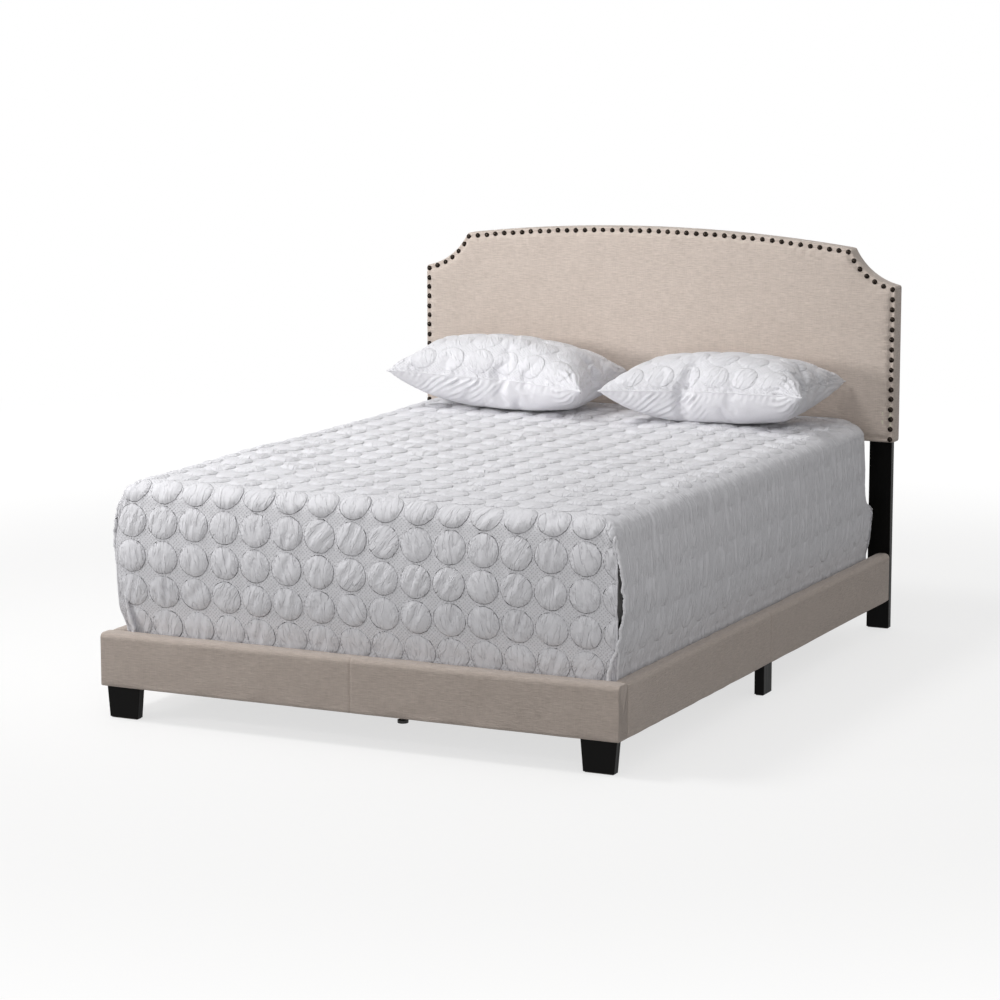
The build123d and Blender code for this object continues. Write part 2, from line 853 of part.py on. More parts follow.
with BuildPart() as center_legs:
    for middle in slat_middles:
        box_between(
            (-center_leg_size / 2, middle - center_leg_size / 2, center_leg_bottom),
            (center_leg_size / 2, middle + center_leg_size / 2, slat_bottom),
        )
    fillet(center_legs.edges().filter_by(Axis.Z), leg_edge_radius)
    drill(slat_screw_places, screw_hole, slat_screw_length)
    drill(leveller_places, leveller_stem_radius + leveller_bore_clearance, leveller_bore_depth)
save(center_legs.part, "center_legs")

slat_screw = screw(screw_head_radius, screw_head_height, screw_radius, slat_screw_length)
save(group(slat_screw, slat_screw_places), "center_leg_screws")

for number, middle in enumerate(slat_middles, start=1):
    with BuildPart() as leveller:
        with Locations((0, middle, leveller_pad_height)):
            Cylinder(
                leveller_pad_radius,
                leveller_pad_height,
                align=(Align.CENTER, Align.CENTER, Align.MAX),
            )
            Cylinder(
                leveller_stem_radius,
                leveller_stem_length,
                align=(Align.CENTER, Align.CENTER, Align.MIN),
            )
        fillet(leveller.edges().group_by(Axis.Z)[0], leg_edge_radius)
    save(leveller.part, f"leveller_{number}")


# Box spring: a boarded frame with a slatted deck in a cloth cover
def foundation_block(inset):
    """The box spring's outer shape, smaller by inset all round."""
    with BuildPart() as block:
        box_between(
            (-foundation_half + inset, foundation_foot + inset, slat_top + inset),
            (foundation_half - inset, mattress_head - inset, foundation_top - inset),
        )
        fillet(block.edges().filter_by(Axis.Z), foundation_edge_radius - inset)
    return block.part


with BuildPart() as foundation_cover:
    add(foundation_block(0))
    add(foundation_block(foundation_cloth), mode=Mode.SUBTRACT)
save(foundation_cover.part, "box_spring_cover")

frame_half = foundation_half - foundation_cloth
frame_foot = foundation_foot + foundation_cloth
frame_head = mattress_head - foundation_cloth
frame_bottom = slat_top + foundation_cloth
deck_top = foundation_top - foundation_cloth
deck_bottom = deck_top - deck_slat_thickness
end_spans = (
    (frame_foot, frame_foot + foundation_board, frame_foot),
    (frame_head - foundation_board, frame_head, frame_head),
)
end_boards = []
for start, end, outside in end_spans:
    with BuildPart() as board:
        box_between((-frame_half, start, frame_bottom), (frame_half, end, deck_bottom))
        corners = board.edges().filter_by(Axis.Z).filter_by_position(Axis.Y, outside, outside)
        fillet(corners, foundation_edge_radius - foundation_cloth)
    end_boards.append(board.part)
save_set(end_boards, "box_spring_end_boards")
with BuildPart() as side_boards:
    for side in sides.values():
        inner, outer = both(side * (frame_half - foundation_board), side * frame_half)
        box_between(
            (inner, frame_foot + foundation_board, frame_bottom),
            (outer, frame_head - foundation_board, deck_bottom),
        )
save(side_boards.part, "box_spring_side_boards")
with BuildPart() as beam:
    box_between(
        (-center_beam_width / 2, frame_foot + foundation_board, frame_bottom),
        (center_beam_width / 2, frame_head - foundation_board, deck_bottom),
    )
save(beam.part, "box_spring_beam")
deck_first = frame_foot + foundation_edge_radius + deck_slat_width / 2
deck_last = frame_head - foundation_edge_radius - deck_slat_width / 2
deck_pitch = (deck_last - deck_first) / (deck_slat_count - 1)
with BuildPart() as deck:
    for i in range(deck_slat_count):
        middle = deck_first + i * deck_pitch
        box_between(
            (-frame_half, middle - deck_slat_width / 2, deck_bottom),
            (frame_half, middle + deck_slat_width / 2, deck_top),
        )
save(deck.part, "box_spring_deck_slats")


# Mattress: support foam and comfort foam inside a ticking
def mattress_block(inset):
    """The mattress's outer shape, smaller by inset all round."""
    with BuildPart() as block:
        box_between(
            (-mattress_half + inset, mattress_foot + inset, foundation_top + inset),
            (mattress_half - inset, mattress_head - inset, mattress_top - inset),
        )
        fillet(block.edges().filter_by(Axis.Z), mattress_corner_radius - inset)
        level_edges = block.edges().group_by(Axis.Z)
        fillet(level_edges[0] + level_edges[-1], mattress_edge_radius - inset)
    return block.part


with BuildPart() as ticking:
    add(mattress_block(0))
    add(mattress_block(ticking_thickness), mode=Mode.SUBTRACT)
save(ticking.part, "mattress_ticking")
foam_joint = Plane.XY.offset(mattress_top - ticking_thickness - comfort_foam_thickness)
for name, keep in {"mattress_support_foam": Keep.BOTTOM, "mattress_comfort_foam": Keep.TOP}.items():
    with BuildPart() as foam:
        add(mattress_block(ticking_thickness))
        split(bisect_by=foam_joint, keep=keep)
    save(foam.part, name)

# Quilt: top and three drops, split at the foot corners, tucked inside the rails
hem_bottom = rail_top - quilt_hem_depth
tuck_top = rail_top + quilt_rail_gap
drop_outer = quilt_ease + quilt_thickness
shoulder_bottom = quilt_top - quilt_shoulder_radius


def drop_points(inset):
    """The drop's outside, hem to shoulder, as distances out of the mattress's side, and heights."""
    return (
        (quilt_ease - quilt_tuck - inset, hem_bottom),
        (quilt_ease - quilt_tuck - inset, tuck_top),
        (drop_outer + quilt_belly - inset, quilt_belly_height),
        (drop_outer - inset, shoulder_bottom),
        (drop_outer - quilt_shoulder_radius, quilt_top - inset),
    )


def quilt_block(inset, hem_overrun, head_overrun):
    """The quilt's outer shape, smaller by inset: two profiles that cross at the foot corners."""
    hem, tuck, belly, shoulder, crest = drop_points(inset)
    head = mattress_head + head_overrun
    with BuildPart() as block:
        with BuildSketch(upright(mattress_foot - mattress_half)) as across_bed:
            with BuildLine():
                Line((mattress_half + hem[0], hem[1] - hem_overrun), (mattress_half + tuck[0], tuck[1]))
                ThreePointArc(*[(mattress_half + u, z) for u, z in (tuck, belly, shoulder)])
                RadiusArc(
                    (mattress_half + shoulder[0], shoulder[1]),
                    (mattress_half + crest[0], crest[1]),
                    -(quilt_shoulder_radius - inset),
                )
                Line((mattress_half + crest[0], crest[1]), (0, crest[1]))
                Line((0, crest[1]), (0, hem[1] - hem_overrun))
                Line((0, hem[1] - hem_overrun), (mattress_half + hem[0], hem[1] - hem_overrun))
            make_face()
            mirror(about=Plane.YZ)
        extrude(amount=-(mattress_length + 2 * mattress_half))
        with BuildSketch(across(-mattress_width)) as along_bed:
            with BuildLine():
                Line((mattress_foot - hem[0], hem[1] - hem_overrun), (mattress_foot - tuck[0], tuck[1]))
                ThreePointArc(*[(mattress_foot - u, z) for u, z in (tuck, belly, shoulder)])
                RadiusArc(
                    (mattress_foot - shoulder[0], shoulder[1]),
                    (mattress_foot - crest[0], crest[1]),
                    quilt_shoulder_radius - inset,
                )
                Polyline(
                    (mattress_foot - crest[0], crest[1]),
                    (head, crest[1]),
                    (head, hem[1] - hem_overrun),
                    (mattress_foot - hem[0], hem[1] - hem_overrun),
                )
            make_face()
        extrude(amount=2 * mattress_width, mode=Mode.INTERSECT)
    return block.part


with BuildPart() as quilt:
    add(quilt_block(0, 0, 0))
    add(quilt_block(quilt_thickness, overrun, overrun), mode=Mode.SUBTRACT)
    for side in sides.values():
        inner, outer = both(side * mattress_half, side * (mattress_half + slit_width))
        box_between(
            (inner, foot_face, hem_bottom - overrun),
            (outer, mattress_foot - quilt_ease + quilt_tuck + overrun, shoulder_bottom),
            mode=Mode.SUBTRACT,
        )
save(quilt.part, "quilt")

# Bound edges of the side drops: each stands just off the drop's edge at the foot corner
binding_shift = binding_radius + binding_clearance
binding_profile = drop_points(0)[1:4]
with BuildPart() as bindings:
    for side in sides.values():
        with BuildLine() as path:
            ThreePointArc(
                *[
                    (
                        side * (mattress_half + distance - quilt_thickness / 2),
                        mattress_foot - distance - binding_shift,
                        height,
                    )
                    for distance, height in binding_profile
                ]
            )
        with BuildSketch(path.line ^ 0):
            Circle(binding_radius)
        sweep()
save(bindings.part, "quilt_corner_bindings")


# Pillows: a sham with a seam round its widest line, over a stuffed insert
def bowed_outline(plane, half_x, half_y, bow):
    """A four-sided outline on a plane, whose sides bow outwards by bow, or inwards if negative."""
    corners = ((half_x, half_y), (-half_x, half_y), (-half_x, -half_y), (half_x, -half_y))
    with BuildSketch(plane) as outline:
        with BuildLine():
            for i, start in enumerate(corners):
                end = corners[(i + 1) % len(corners)]
                SagittaArc(start, end, bow)
        make_face()
    return outline.sketch


def pillow_half(plane, height, inset, direction):
    """One half of a pillow, from its seam up or down to its crown."""
    sections = []
    for inset_share, height_share in pillow_level_shares:
        step_in = inset_share * pillow_length / 2
        half_x = pillow_width / 2 - inset - step_in
        half_y = pillow_length / 2 - inset - step_in
        swell = math.sin(math.pi * height_share)
        bow = -pillow_seam_bow + (pillow_seam_bow + pillow_shoulder_bulge) * swell
        level = plane.offset(direction * height_share * (height - inset))
        sections.append(bowed_outline(level, half_x, half_y, bow))
    with BuildPart() as half:
        loft(sections)
    return half.part


def pillow_body(plane, crown, belly, inset):
    """A whole pillow on its seam plane, cut flat where it rests."""
    rest = Plane.XY.offset(quilt_top + pillow_rest_gap + inset)
    with BuildPart() as body:
        add(pillow_half(plane, crown, inset, 1))
        add(pillow_half(plane, belly, inset, -1))
        split(bisect_by=rest, keep=Keep.TOP)
    return body.part


def pillow(name, x, seam_height, tilt, turn, crown, belly):
    """One pillow: tilt lowers its right end and turn swings it round, in degrees."""
    seam = Plane(origin=(x, pillow_y, quilt_top + seam_height)).rotated((0, tilt, turn))
    outer_body = pillow_body(seam, crown, belly, 0)
    inner_body = pillow_body(seam, crown, belly, sham_thickness)
    with BuildPart() as sham:
        add(outer_body)
        add(inner_body, mode=Mode.SUBTRACT)
    save(sham.part, f"pillow_sham_{name}")
    save(inner_body, f"pillow_insert_{name}")


pillow_y = headboard_front - crown_height - pillow_head_gap - pillow_length / 2
pillow(
    "left",
    -(left_pillow_middle_gap + pillow_width / 2),
    left_pillow_seam_height,
    left_pillow_tilt,
    left_pillow_turn,
    left_pillow_crown,
    left_pillow_belly,
)
pillow(
    "right",
    right_pillow_middle_gap + pillow_width / 2,
    right_pillow_seam_height,
    right_pillow_tilt,
    right_pillow_turn,
    right_pillow_crown,
    right_pillow_belly,
)
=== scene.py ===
"""Looks of the upholstered bed: linen frame with a nailed headboard, quilt and two pillows.

Metres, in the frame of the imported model: +Z is up, X runs across the bed and -Y is the foot.
"""

import json
import logging
import math
from dataclasses import dataclass, field
from enum import Enum
from typing import Callable, Sequence

import bmesh
import bpy
import numpy as np
from mathutils import Matrix, Vector, geometry


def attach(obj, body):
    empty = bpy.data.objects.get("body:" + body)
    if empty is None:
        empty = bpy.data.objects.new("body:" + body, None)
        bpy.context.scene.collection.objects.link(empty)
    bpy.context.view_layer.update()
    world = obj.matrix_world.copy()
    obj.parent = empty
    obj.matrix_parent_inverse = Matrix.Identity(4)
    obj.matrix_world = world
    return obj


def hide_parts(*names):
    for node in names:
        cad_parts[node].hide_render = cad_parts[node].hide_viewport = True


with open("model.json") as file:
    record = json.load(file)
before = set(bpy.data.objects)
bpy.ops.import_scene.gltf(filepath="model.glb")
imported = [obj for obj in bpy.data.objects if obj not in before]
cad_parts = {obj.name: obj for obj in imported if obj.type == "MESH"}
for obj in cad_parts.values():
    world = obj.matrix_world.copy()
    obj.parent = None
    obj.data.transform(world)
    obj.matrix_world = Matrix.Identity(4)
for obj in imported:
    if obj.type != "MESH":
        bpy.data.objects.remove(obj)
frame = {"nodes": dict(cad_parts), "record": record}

log = logging.getLogger("bed")
TAU = 2 * math.pi
PILLOW_SEAM_LIFT = 0.114
Array = np.ndarray
Object = bpy.types.Object
Material = bpy.types.Material
Socket = bpy.types.NodeSocket
Triple = tuple[float, float, float]


def ease(value: Array, low: float = 0.0, high: float = 1.0) -> Array:
    """A smooth step from 0 at low to 1 at high."""
    share = np.clip((np.asarray(value, float) - low) / (high - low), 0, 1)
    return share * share * (3 - 2 * share)


@dataclass(frozen=True)
class Ripples:
    """Soft random waves over a surface, the same in every run."""

    seed: int
    wavelength: float
    waves: int = 9

    def at(self, u: Array, v: Array) -> Array:
        """Heights of about unit size.

        Args:
            u: First surface coordinate, in metres.
            v: Second surface coordinate, in metres.

        Returns:
            One height for each point.
        """
        rng = np.random.default_rng(self.seed)
        total = np.zeros(np.broadcast(u, v).shape)
        for _ in range(self.waves):
            turn, shift = rng.uniform(0, TAU, 2)
            length = self.wavelength * rng.uniform(0.7, 1.5)
            total += np.sin(TAU * (u * math.cos(turn) + v * math.sin(turn)) / length + shift)
        return total / math.sqrt(self.waves / 2)


def add_object(name: str, data: object) -> Object:
    """Puts a mesh, lamp or camera into the scene.

    Args:
        name: The name in Blender.
        data: The mesh, lamp or camera.

    Returns:
        The object.
    """
    obj = bpy.data.objects.new(name, data)
    bpy.context.scene.collection.objects.link(obj)
    return obj


def finished_mesh(obj: Object) -> bpy.types.Mesh:
    """The object's mesh with its modifiers worked in."""
    return bpy.data.meshes.new_from_object(obj.evaluated_get(bpy.context.evaluated_depsgraph_get()))


def read(items: Sequence, key: str, width: int = 1, kind: type = float) -> Array:
    """One property of all vertices, edges, corners or faces of a mesh.

    Args:
        items: The vertices, edges, corners, faces or attribute values.
        key: The property's name in Blender.
        width: How many numbers each one has.
        kind: The numbers' type.

    Returns:
        The numbers, a row for each where there is more than one.
    """
    values = np.empty(width * len(items), kind)
    items.foreach_get(key, values)
    return values.reshape(-1, width) if width > 1 else values


def run_along(points: Array) -> Array:
    """How far along a polyline each of its points lies."""
    return np.concatenate([[0], np.cumsum(np.linalg.norm(np.diff(points, axis=0), axis=1))])


def densify(
    points: Sequence[Sequence[float]],
    longest: float,
    shares: Sequence[float],
) -> tuple[Array, Array]:
    """Adds points on the long stretches of a closed outline.

    Args:
        points: The outline's points.
        longest: Length up to which a stretch stays as it is.
        shares: Where the points of a longer stretch lie, from 0 up to 1.

    Returns:
        All the points, and how far along the outline each one lies.
    """
    dense = []
    for k, (x, y) in enumerate(points):
        end = points[(k + 1) % len(points)]
        for share in shares if math.dist((x, y), end) > longest else (0,):
            dense.append((x + (end[0] - x) * share, y + (end[1] - y) * share))
    return np.array(dense), run_along(dense)


def make_piece(
    name: str,
    points: Array,
    faces: Sequence[Sequence[int]],
    cloth: Array | None = None,
    marks: dict[str, Array] | None = None,
    folds: Array | None = None,
    normals: Array | None = None,
) -> Object:
    """Makes a smooth mesh object at the origin, its place in its mesh.

    Args:
        name: The piece's name.
        points: One row of x, y, z for each vertex.
        faces: Vertex numbers of each face.
        cloth: Unrolled cloth coordinates of each vertex, in metres.
        marks: Named numbers kept on each vertex for the materials.
        folds: Coordinates across and along the small folds, for each vertex or face corner.
        normals: Vertex normals, where a neighbour piece has to shade on without a line.

    Returns:
        The new object.
    """
    mesh = bpy.data.meshes.new(name)
    mesh.from_pydata(np.asarray(points, float).tolist(), [], [list(map(int, f)) for f in faces])
    mesh.polygons.foreach_set("use_smooth", [True] * len(mesh.polygons))
    corners = read(mesh.loops, "vertex_index", kind=np.int32)
    for key, values in (("cloth", cloth), ("folds", folds)):
        if values is not None:
            layer = mesh.uv_layers.new(name=key)
            values = np.asarray(values, np.float32)
            layer.data.foreach_set("uv", (values if len(values) == len(corners) else values[corners]).ravel())
    for key, values in (marks or {}).items():
        attribute = mesh.attributes.new(key, "FLOAT", "POINT")
        attribute.data.foreach_set("value", np.asarray(values, np.float32).ravel())
    mesh.update()
    if normals is not None:
        mesh.normals_split_custom_set_from_vertices(np.asarray(normals, float).tolist())
    return add_object(name, mesh)


def lattice(rows: int, columns: int, closed: bool = False, flip: bool = False) -> list[tuple]:
    """Faces of a grid of vertices counted row by row.

    Args:
        rows: Number of rows.
        columns: Number of vertices in a row.
        closed: Joins each row's end to its start.
        flip: Turns the faces over.

    Returns:
        Four vertex numbers for each face.
    """
    faces = []
    for r in range(rows - 1):
        for c in range(columns if closed else columns - 1):
            d = (c + 1) % columns
            a, b = r * columns + c, r * columns + d
            quad = (a, b, b + columns, a + columns)
            faces.append(quad[::-1] if flip else quad)
    return faces


def join_pieces(name: str, parts: Sequence[Object]) -> Object:
    """Joins several objects into the first one and names it.

    Args:
        name: The name in Blender.
        parts: The objects to join.

    Returns:
        The one object that is left.
    """
    with bpy.context.temp_override(active_object=parts[0], selected_editable_objects=list(parts)):
        bpy.ops.object.join()
    parts[0].name = name
    parts[0].data.name = name
    return parts[0]


def shade(colour: Triple, share: float) -> Triple:
    """A darker tone of a colour."""
    return tuple(share * channel for channel in colour)


class Side(Enum):
    """The bed's two long sides, seen from the foot."""

    LEFT = -1
    RIGHT = 1

    @property
    def word(self) -> str:
        """The side's name in lower case."""
        return self.name.lower()


class Shader:
    """Builds one procedural material, node by node."""

    def __init__(self, name: str) -> None:
        """Starts with an empty tree, one Principled shader and the output.

        Args:
            name: The name in Blender.
        """
        self.material = bpy.data.materials.new(name)
        self.material.use_nodes = True
        self.tree = self.material.node_tree
        self.tree.nodes.clear()
        self.out = self.tree.nodes.new("ShaderNodeOutputMaterial")
        self.body = self.tree.nodes.new("ShaderNodeBsdfPrincipled")
        self.link(self.body.outputs["BSDF"], self.out.inputs["Surface"])

    def link(self, source: Socket, target: Socket) -> None:
        """Joins two sockets."""
        self.tree.links.new(source, target)

    def node(self, kind: str, **values: object) -> bpy.types.Node:
        """A new node with attributes or inputs set; a socket as a value is linked.

        Args:
            kind: Blender's name of the node type, without its ShaderNode prefix.
            values: Attributes by name, and inputs as in_Name or in_0.

        Returns:
            The node.
        """
        made = self.tree.nodes.new("ShaderNode" + kind)
        for key, value in values.items():
            if not key.startswith("in_"):
                setattr(made, key, value)
                continue
            word = key[3:].replace("_", " ")
            socket = made.inputs[int(word)] if word.isdigit() else made.inputs[word]
            if isinstance(value, Socket):
                self.link(value, socket)
            else:
                socket.default_value = value
        return made

    def math(self, kind: str, a: object, b: object = 0.0, c: object = 0.0) -> Socket:
        """The result of one Math node."""
        return self.node("Math", operation=kind, in_0=a, in_1=b, in_2=c).outputs[0]

    def times(self, first: object, *rest: object) -> Socket:
        """The product of two or more values."""
        for factor in rest:
            first = self.math("MULTIPLY", first, factor)
        return first

    def less(self, value: object) -> Socket:
        """What a value leaves of one."""
        return self.math("SUBTRACT", 1.0, value)

    def cloth(self, scale: Triple = (1, 1, 1)) -> Socket:
        """Unrolled cloth coordinates in metres, stretched by scale."""
        uv = self.node("UVMap", uv_map="cloth").outputs["UV"]
        return self.node("Mapping", in_Vector=uv, in_Scale=scale).outputs["Vector"]

    def place(self, scale: Triple = (1, 1, 1)) -> Socket:
        """Object coordinates in metres, stretched by scale."""
        here = self.node("TexCoord").outputs["Object"]
        return self.node("Mapping", in_Vector=here, in_Scale=scale).outputs["Vector"]

    def noise(self, at: Socket, scale: float, detail: float = 3, rough: float = 0.5) -> Socket:
        """A Noise texture's value."""
        made = self.node("TexNoise", in_Vector=at, in_Scale=scale, in_Detail=detail, in_Roughness=rough)
        return made.outputs["Fac"]

    def mark(self, name: str) -> Socket:
        """A number kept on the mesh."""
        return self.node("Attribute", attribute_name=name, attribute_type="GEOMETRY").outputs["Fac"]

    def ramp(self, value: Socket, low: float, high: float) -> Socket:
        """Maps low..high to 0..1, clamped."""
        return self.node("MapRange", in_Value=value, in_1=low, in_2=high).outputs[0]

    def mix(self, share: object, a: object, b: object, kind: str = "MIX") -> Socket:
        """Mixes two colours.

        Args:
            share: How much of the second colour.
            a: The first colour.
            b: The second colour.
            kind: How they mix.

        Returns:
            The mixed colour.
        """
        made = self.node("MixRGB", blend_type=kind, in_0=share)
        for index, value in ((1, a), (2, b)):
            if isinstance(value, Socket):
                self.link(value, made.inputs[index])
            else:
                made.inputs[index].default_value = (*value, 1)
        return made.outputs[0]

    def bump(self, height: Socket, depth: float, after: Socket | None = None) -> Socket:
        """A bumped normal, depth in metres, over an earlier one if given.

        Args:
            height: The height field.
            depth: Its depth in metres.
            after: The normal that it adds to.

        Returns:
            The new normal.
        """
        made = self.node("Bump", in_Height=height, in_Distance=depth, in_Strength=1.0)
        if after is not None:
            self.link(after, made.inputs["Normal"])
        return made.outputs["Normal"]

    def finish(
        self,
        colour: object = None,
        roughness: object = None,
        normal: Socket | None = None,
        **fixed: float
    ) -> Material:
        """Joins what was made to the shader and returns the material.

        Args:
            colour: The base colour.
            roughness: The roughness.
            normal: The bent normal.
            fixed: Other inputs of the surface, by name.

        Returns:
            The finished material.
        """
        for name, value in (("Base Color", colour), ("Roughness", roughness), ("Normal", normal)):
            if isinstance(value, Socket):
                self.link(value, self.body.inputs[name])
            elif value is not None:
                self.body.inputs[name].default_value = value
        for key, value in fixed.items():
            self.body.inputs[key.replace("_", " ")].default_value = value
        return self.material


@dataclass(frozen=True)
class Linen:
    """Slubby woven upholstery cloth."""

    name: str = "linen"
    light: Triple = (0.83, 0.72, 0.64)
    dark: Triple = (0.53, 0.45, 0.395)
    thread: float = 0.0012

    def material(self) -> Material:
        """Threads both ways, slubs along them, and faint cloudiness.

        Returns:
            The material.
        """
        s = Shader(self.name)
        across = s.ramp(s.noise(s.cloth((34, 300, 1)), 1, 4, 0.65), 0.34, 0.68)
        along = s.ramp(s.noise(s.cloth((300, 26, 1)), 1, 4, 0.65), 0.36, 0.70)
        cloud = s.noise(s.cloth((1, 2.2, 1)), 9, 4, 0.65)
        slub = s.math("ADD", s.times(across, 0.74), s.times(along, 0.26))
        tone = s.math("MULTIPLY_ADD", slub, 0.75, s.times(cloud, 0.30))
        size = 1 / self.thread / math.pi
        warp = s.node(
            "TexWave", in_Vector=s.cloth(), in_Scale=size, in_Distortion=1.5, in_Detail=2,
            bands_direction="X",
        ).outputs["Fac"]
        weft = s.node(
            "TexWave", in_Vector=s.cloth(), in_Scale=size, in_Distortion=1.5, in_Detail=2,
            bands_direction="Y",
        ).outputs["Fac"]
        weave = s.math("MAXIMUM", warp, weft)
        colour = s.mix(tone, self.dark, self.light)
        colour = s.mix(s.times(s.less(weave), 0.12), colour, (0.30, 0.25, 0.21))
        normal = s.bump(weave, 0.0003)
        normal = s.bump(slub, 0.0009, normal)
        return s.finish(colour, 0.86, normal, Sheen_Weight=0.25, Sheen_Roughness=0.5, Specular_IOR_Level=0.25)


@dataclass(frozen=True)
class StitchPlan:
    """Where the quilt's circles lie in cloth coordinates, for mesh and material alike."""

    pitch: float = 0.101
    circle: float = 0.0478
    across: float = 0.030
    along: float = 1.1798

    def local(self, u: Array, v: Array) -> tuple[Array, Array]:
        """Place inside the circle's cell, in metres from its centre."""
        gx, gy = (u - self.across) / self.pitch, (v - self.along) / self.pitch
        return (gx - np.floor(gx) - 0.5) * self.pitch, (gy - np.floor(gy) - 0.5) * self.pitch

    def from_centre(self, s: Array, t: Array, ci: Array, cj: Array) -> tuple[Array, Array]:
        """Place of each vertex, in metres from the centre of its own circle."""
        return s - (self.across + (ci + 0.5) * self.pitch), t - (self.along + (cj + 0.5) * self.pitch)


@dataclass(frozen=True)
class QuiltedCotton:
    """White cotton quilted in circles: sunk stitch lines, puckers, creases and stippled stars, with painted
    shade on each stitch line's lower-right side, along the fold creases, in the fold valleys of the drops and
    in the stitch pits.
    """

    name: str = "quilted_cotton"
    colour: Triple = (0.79, 0.785, 0.815)
    plan: StitchPlan = StitchPlan()

    def material(self) -> Material:
        """The pattern follows the cloth; marks on the mesh say how faint and how slack it is.

        Returns:
            The material.
        """
        s = Shader(self.name)
        plan = self.plan
        cloth = s.node("SeparateXYZ", in_0=s.cloth())
        cell = [
            s.math(
                "SUBTRACT",
                s.math("FRACT", s.math("DIVIDE", s.math("SUBTRACT", cloth.outputs[k], start), plan.pitch)),
                0.5,
            )
            for k, start in ((0, plan.across), (1, plan.along))
        ]
        spot = s.node("CombineXYZ", in_0=cell[0], in_1=cell[1]).outputs[0]
        wobble = s.times(s.math("SUBTRACT", s.noise(s.cloth(), 48, 2), 0.5), 0.10)
        far = s.math(
            "MULTIPLY_ADD",
            s.node("VectorMath", operation="LENGTH", in_0=spot).outputs["Value"],
            plan.pitch / plan.circle,
            wobble,
        )
        off = s.math("SUBTRACT", far, 1.0)
        line = s.ramp(s.math("ABSOLUTE", off), 0.045, 0.0)
        disc, star = s.ramp(off, 0.02, -0.03), s.ramp(off, 0.0, 0.07)
        # Painted shade: a fixed shadow crescent darkens each stitch line on the lower-right side of its
        # circle only.
        lean = s.node(
            "VectorMath",
            operation="DOT_PRODUCT",
            in_0=s.node("VectorMath", operation="NORMALIZE", in_0=spot).outputs[0],
            in_1=(0.55, 0.83, 0),
        ).outputs["Value"]
        shadow = s.times(
            line, s.node("MapRange", in_Value=lean, in_1=0.0, in_2=0.9, in_3=0.0, in_4=1.0).outputs[0]
        )
        strong = s.less(s.mark("faint"))
        slack = s.mark("slack")
        folds = s.node("UVMap", uv_map="folds").outputs["UV"]
        wide = s.noise(s.node("Mapping", in_Vector=folds, in_Scale=(46, 11, 1)).outputs[0], 1, 3, 0.55)
        thin = s.noise(
            s.node("Mapping", in_Vector=folds, in_Scale=(130, 34, 1), in_Location=(3, 7, 0)).outputs[0],
            1,
            3,
            0.6,
        )
        crease = s.ramp(s.math("ABSOLUTE", s.math("SUBTRACT", wide, 0.5)), 0.0, 0.055)
        where = s.math("MULTIPLY_ADD", s.math("SUBTRACT", disc, 1.0), strong, 1.0)
        angle = s.math("ARCTAN2", cell[1], cell[0])
        ruffle = s.math("SINE", s.math("MULTIPLY_ADD", angle, 21.0, s.times(wide, 30.0)))
        rim = s.times(s.ramp(s.math("ABSOLUTE", off), 0.30, 0.0), strong)
        dots = s.node(
            "TexVoronoi",
            in_Vector=s.node("Mapping", in_Vector=s.cloth(), in_Rotation=(0, 0, 0.785)).outputs[0],
            in_Scale=128,
            in_Randomness=0.2,
        ).outputs["Distance"]
        pit = s.times(s.ramp(dots, 0.36, 0.14), star, strong)
        colour = s.mix(s.times(s.ramp(thin, 0.35, 0.7), 0.10), self.colour, shade(self.colour, 0.86))
        # Painted shade: the cloth is darkened along the crease lines of the small folds, where the bump sinks
        # them.
        soft = s.times(s.less(crease), where, slack)
        colour = s.mix(s.times(soft, 0.10), colour, shade(self.colour, 0.55))
        # Painted shade: on the plain drops the cloth is darker in the valleys of the wide folds.
        fold_valley_shade = s.times(s.ramp(wide, 0.60, 0.40), s.mark("faint"))
        colour = s.mix(s.times(fold_valley_shade, 0.26), colour, shade(self.colour, 0.66))
        # Painted shade: the stitch pits in the stars are darkened in colour as well as sunk by the bump.
        colour = s.mix(s.times(pit, 0.40), colour, shade(self.colour, 0.45))
        # Painted shade: the one-sided shadow crescent, weaker where the pattern is faint.
        drawn = s.times(shadow, strong, strong)
        colour = s.mix(s.times(drawn, 0.36), colour, shade(self.colour, 0.45))
        normal = s.bump(s.times(crease, where, slack), 0.0013)
        normal = s.bump(s.times(s.math("SUBTRACT", wide, 0.33), where, slack), 0.0062, normal)
        normal = s.bump(s.times(s.math("SUBTRACT", thin, 0.36), where), 0.0019, normal)
        normal = s.bump(s.times(ruffle, rim), 0.0005, normal)
        normal = s.bump(s.less(s.times(line, strong, strong)), 0.0006, normal)
        normal = s.bump(s.less(pit), 0.0009, normal)
        return s.finish(colour, 0.88, normal, Sheen_Weight=0.15, Sheen_Roughness=0.4, Specular_IOR_Level=0.2)


@dataclass(frozen=True)
class WashedCotton:
    """Plain white cotton, washed and a little crumpled."""

    name: str
    colour: Triple = (0.785, 0.78, 0.805)
    crinkle: float = 0.0009

    def material(self) -> Material:
        """Soft crumples, fine crinkles and a faint weave.

        Returns:
            The material.
        """
        s = Shader(self.name)
        fine = s.noise(s.cloth((1, 0.45, 1)), 95, 4, 0.62)
        broad = s.noise(s.cloth((1, 0.5, 1)), 28, 3, 0.55)
        thread = s.noise(s.cloth(), 900, 2, 0.6)
        colour = s.mix(s.times(s.ramp(broad, 0.35, 0.7), 0.16), self.colour, shade(self.colour, 0.90))
        normal = s.bump(broad, self.crinkle * 1.7)
        normal = s.bump(fine, self.crinkle * 0.75, normal)
        normal = s.bump(thread, 0.00012, normal)
        return s.finish(colour, 0.88, normal, Sheen_Weight=0.15, Sheen_Roughness=0.4, Specular_IOR_Level=0.2)


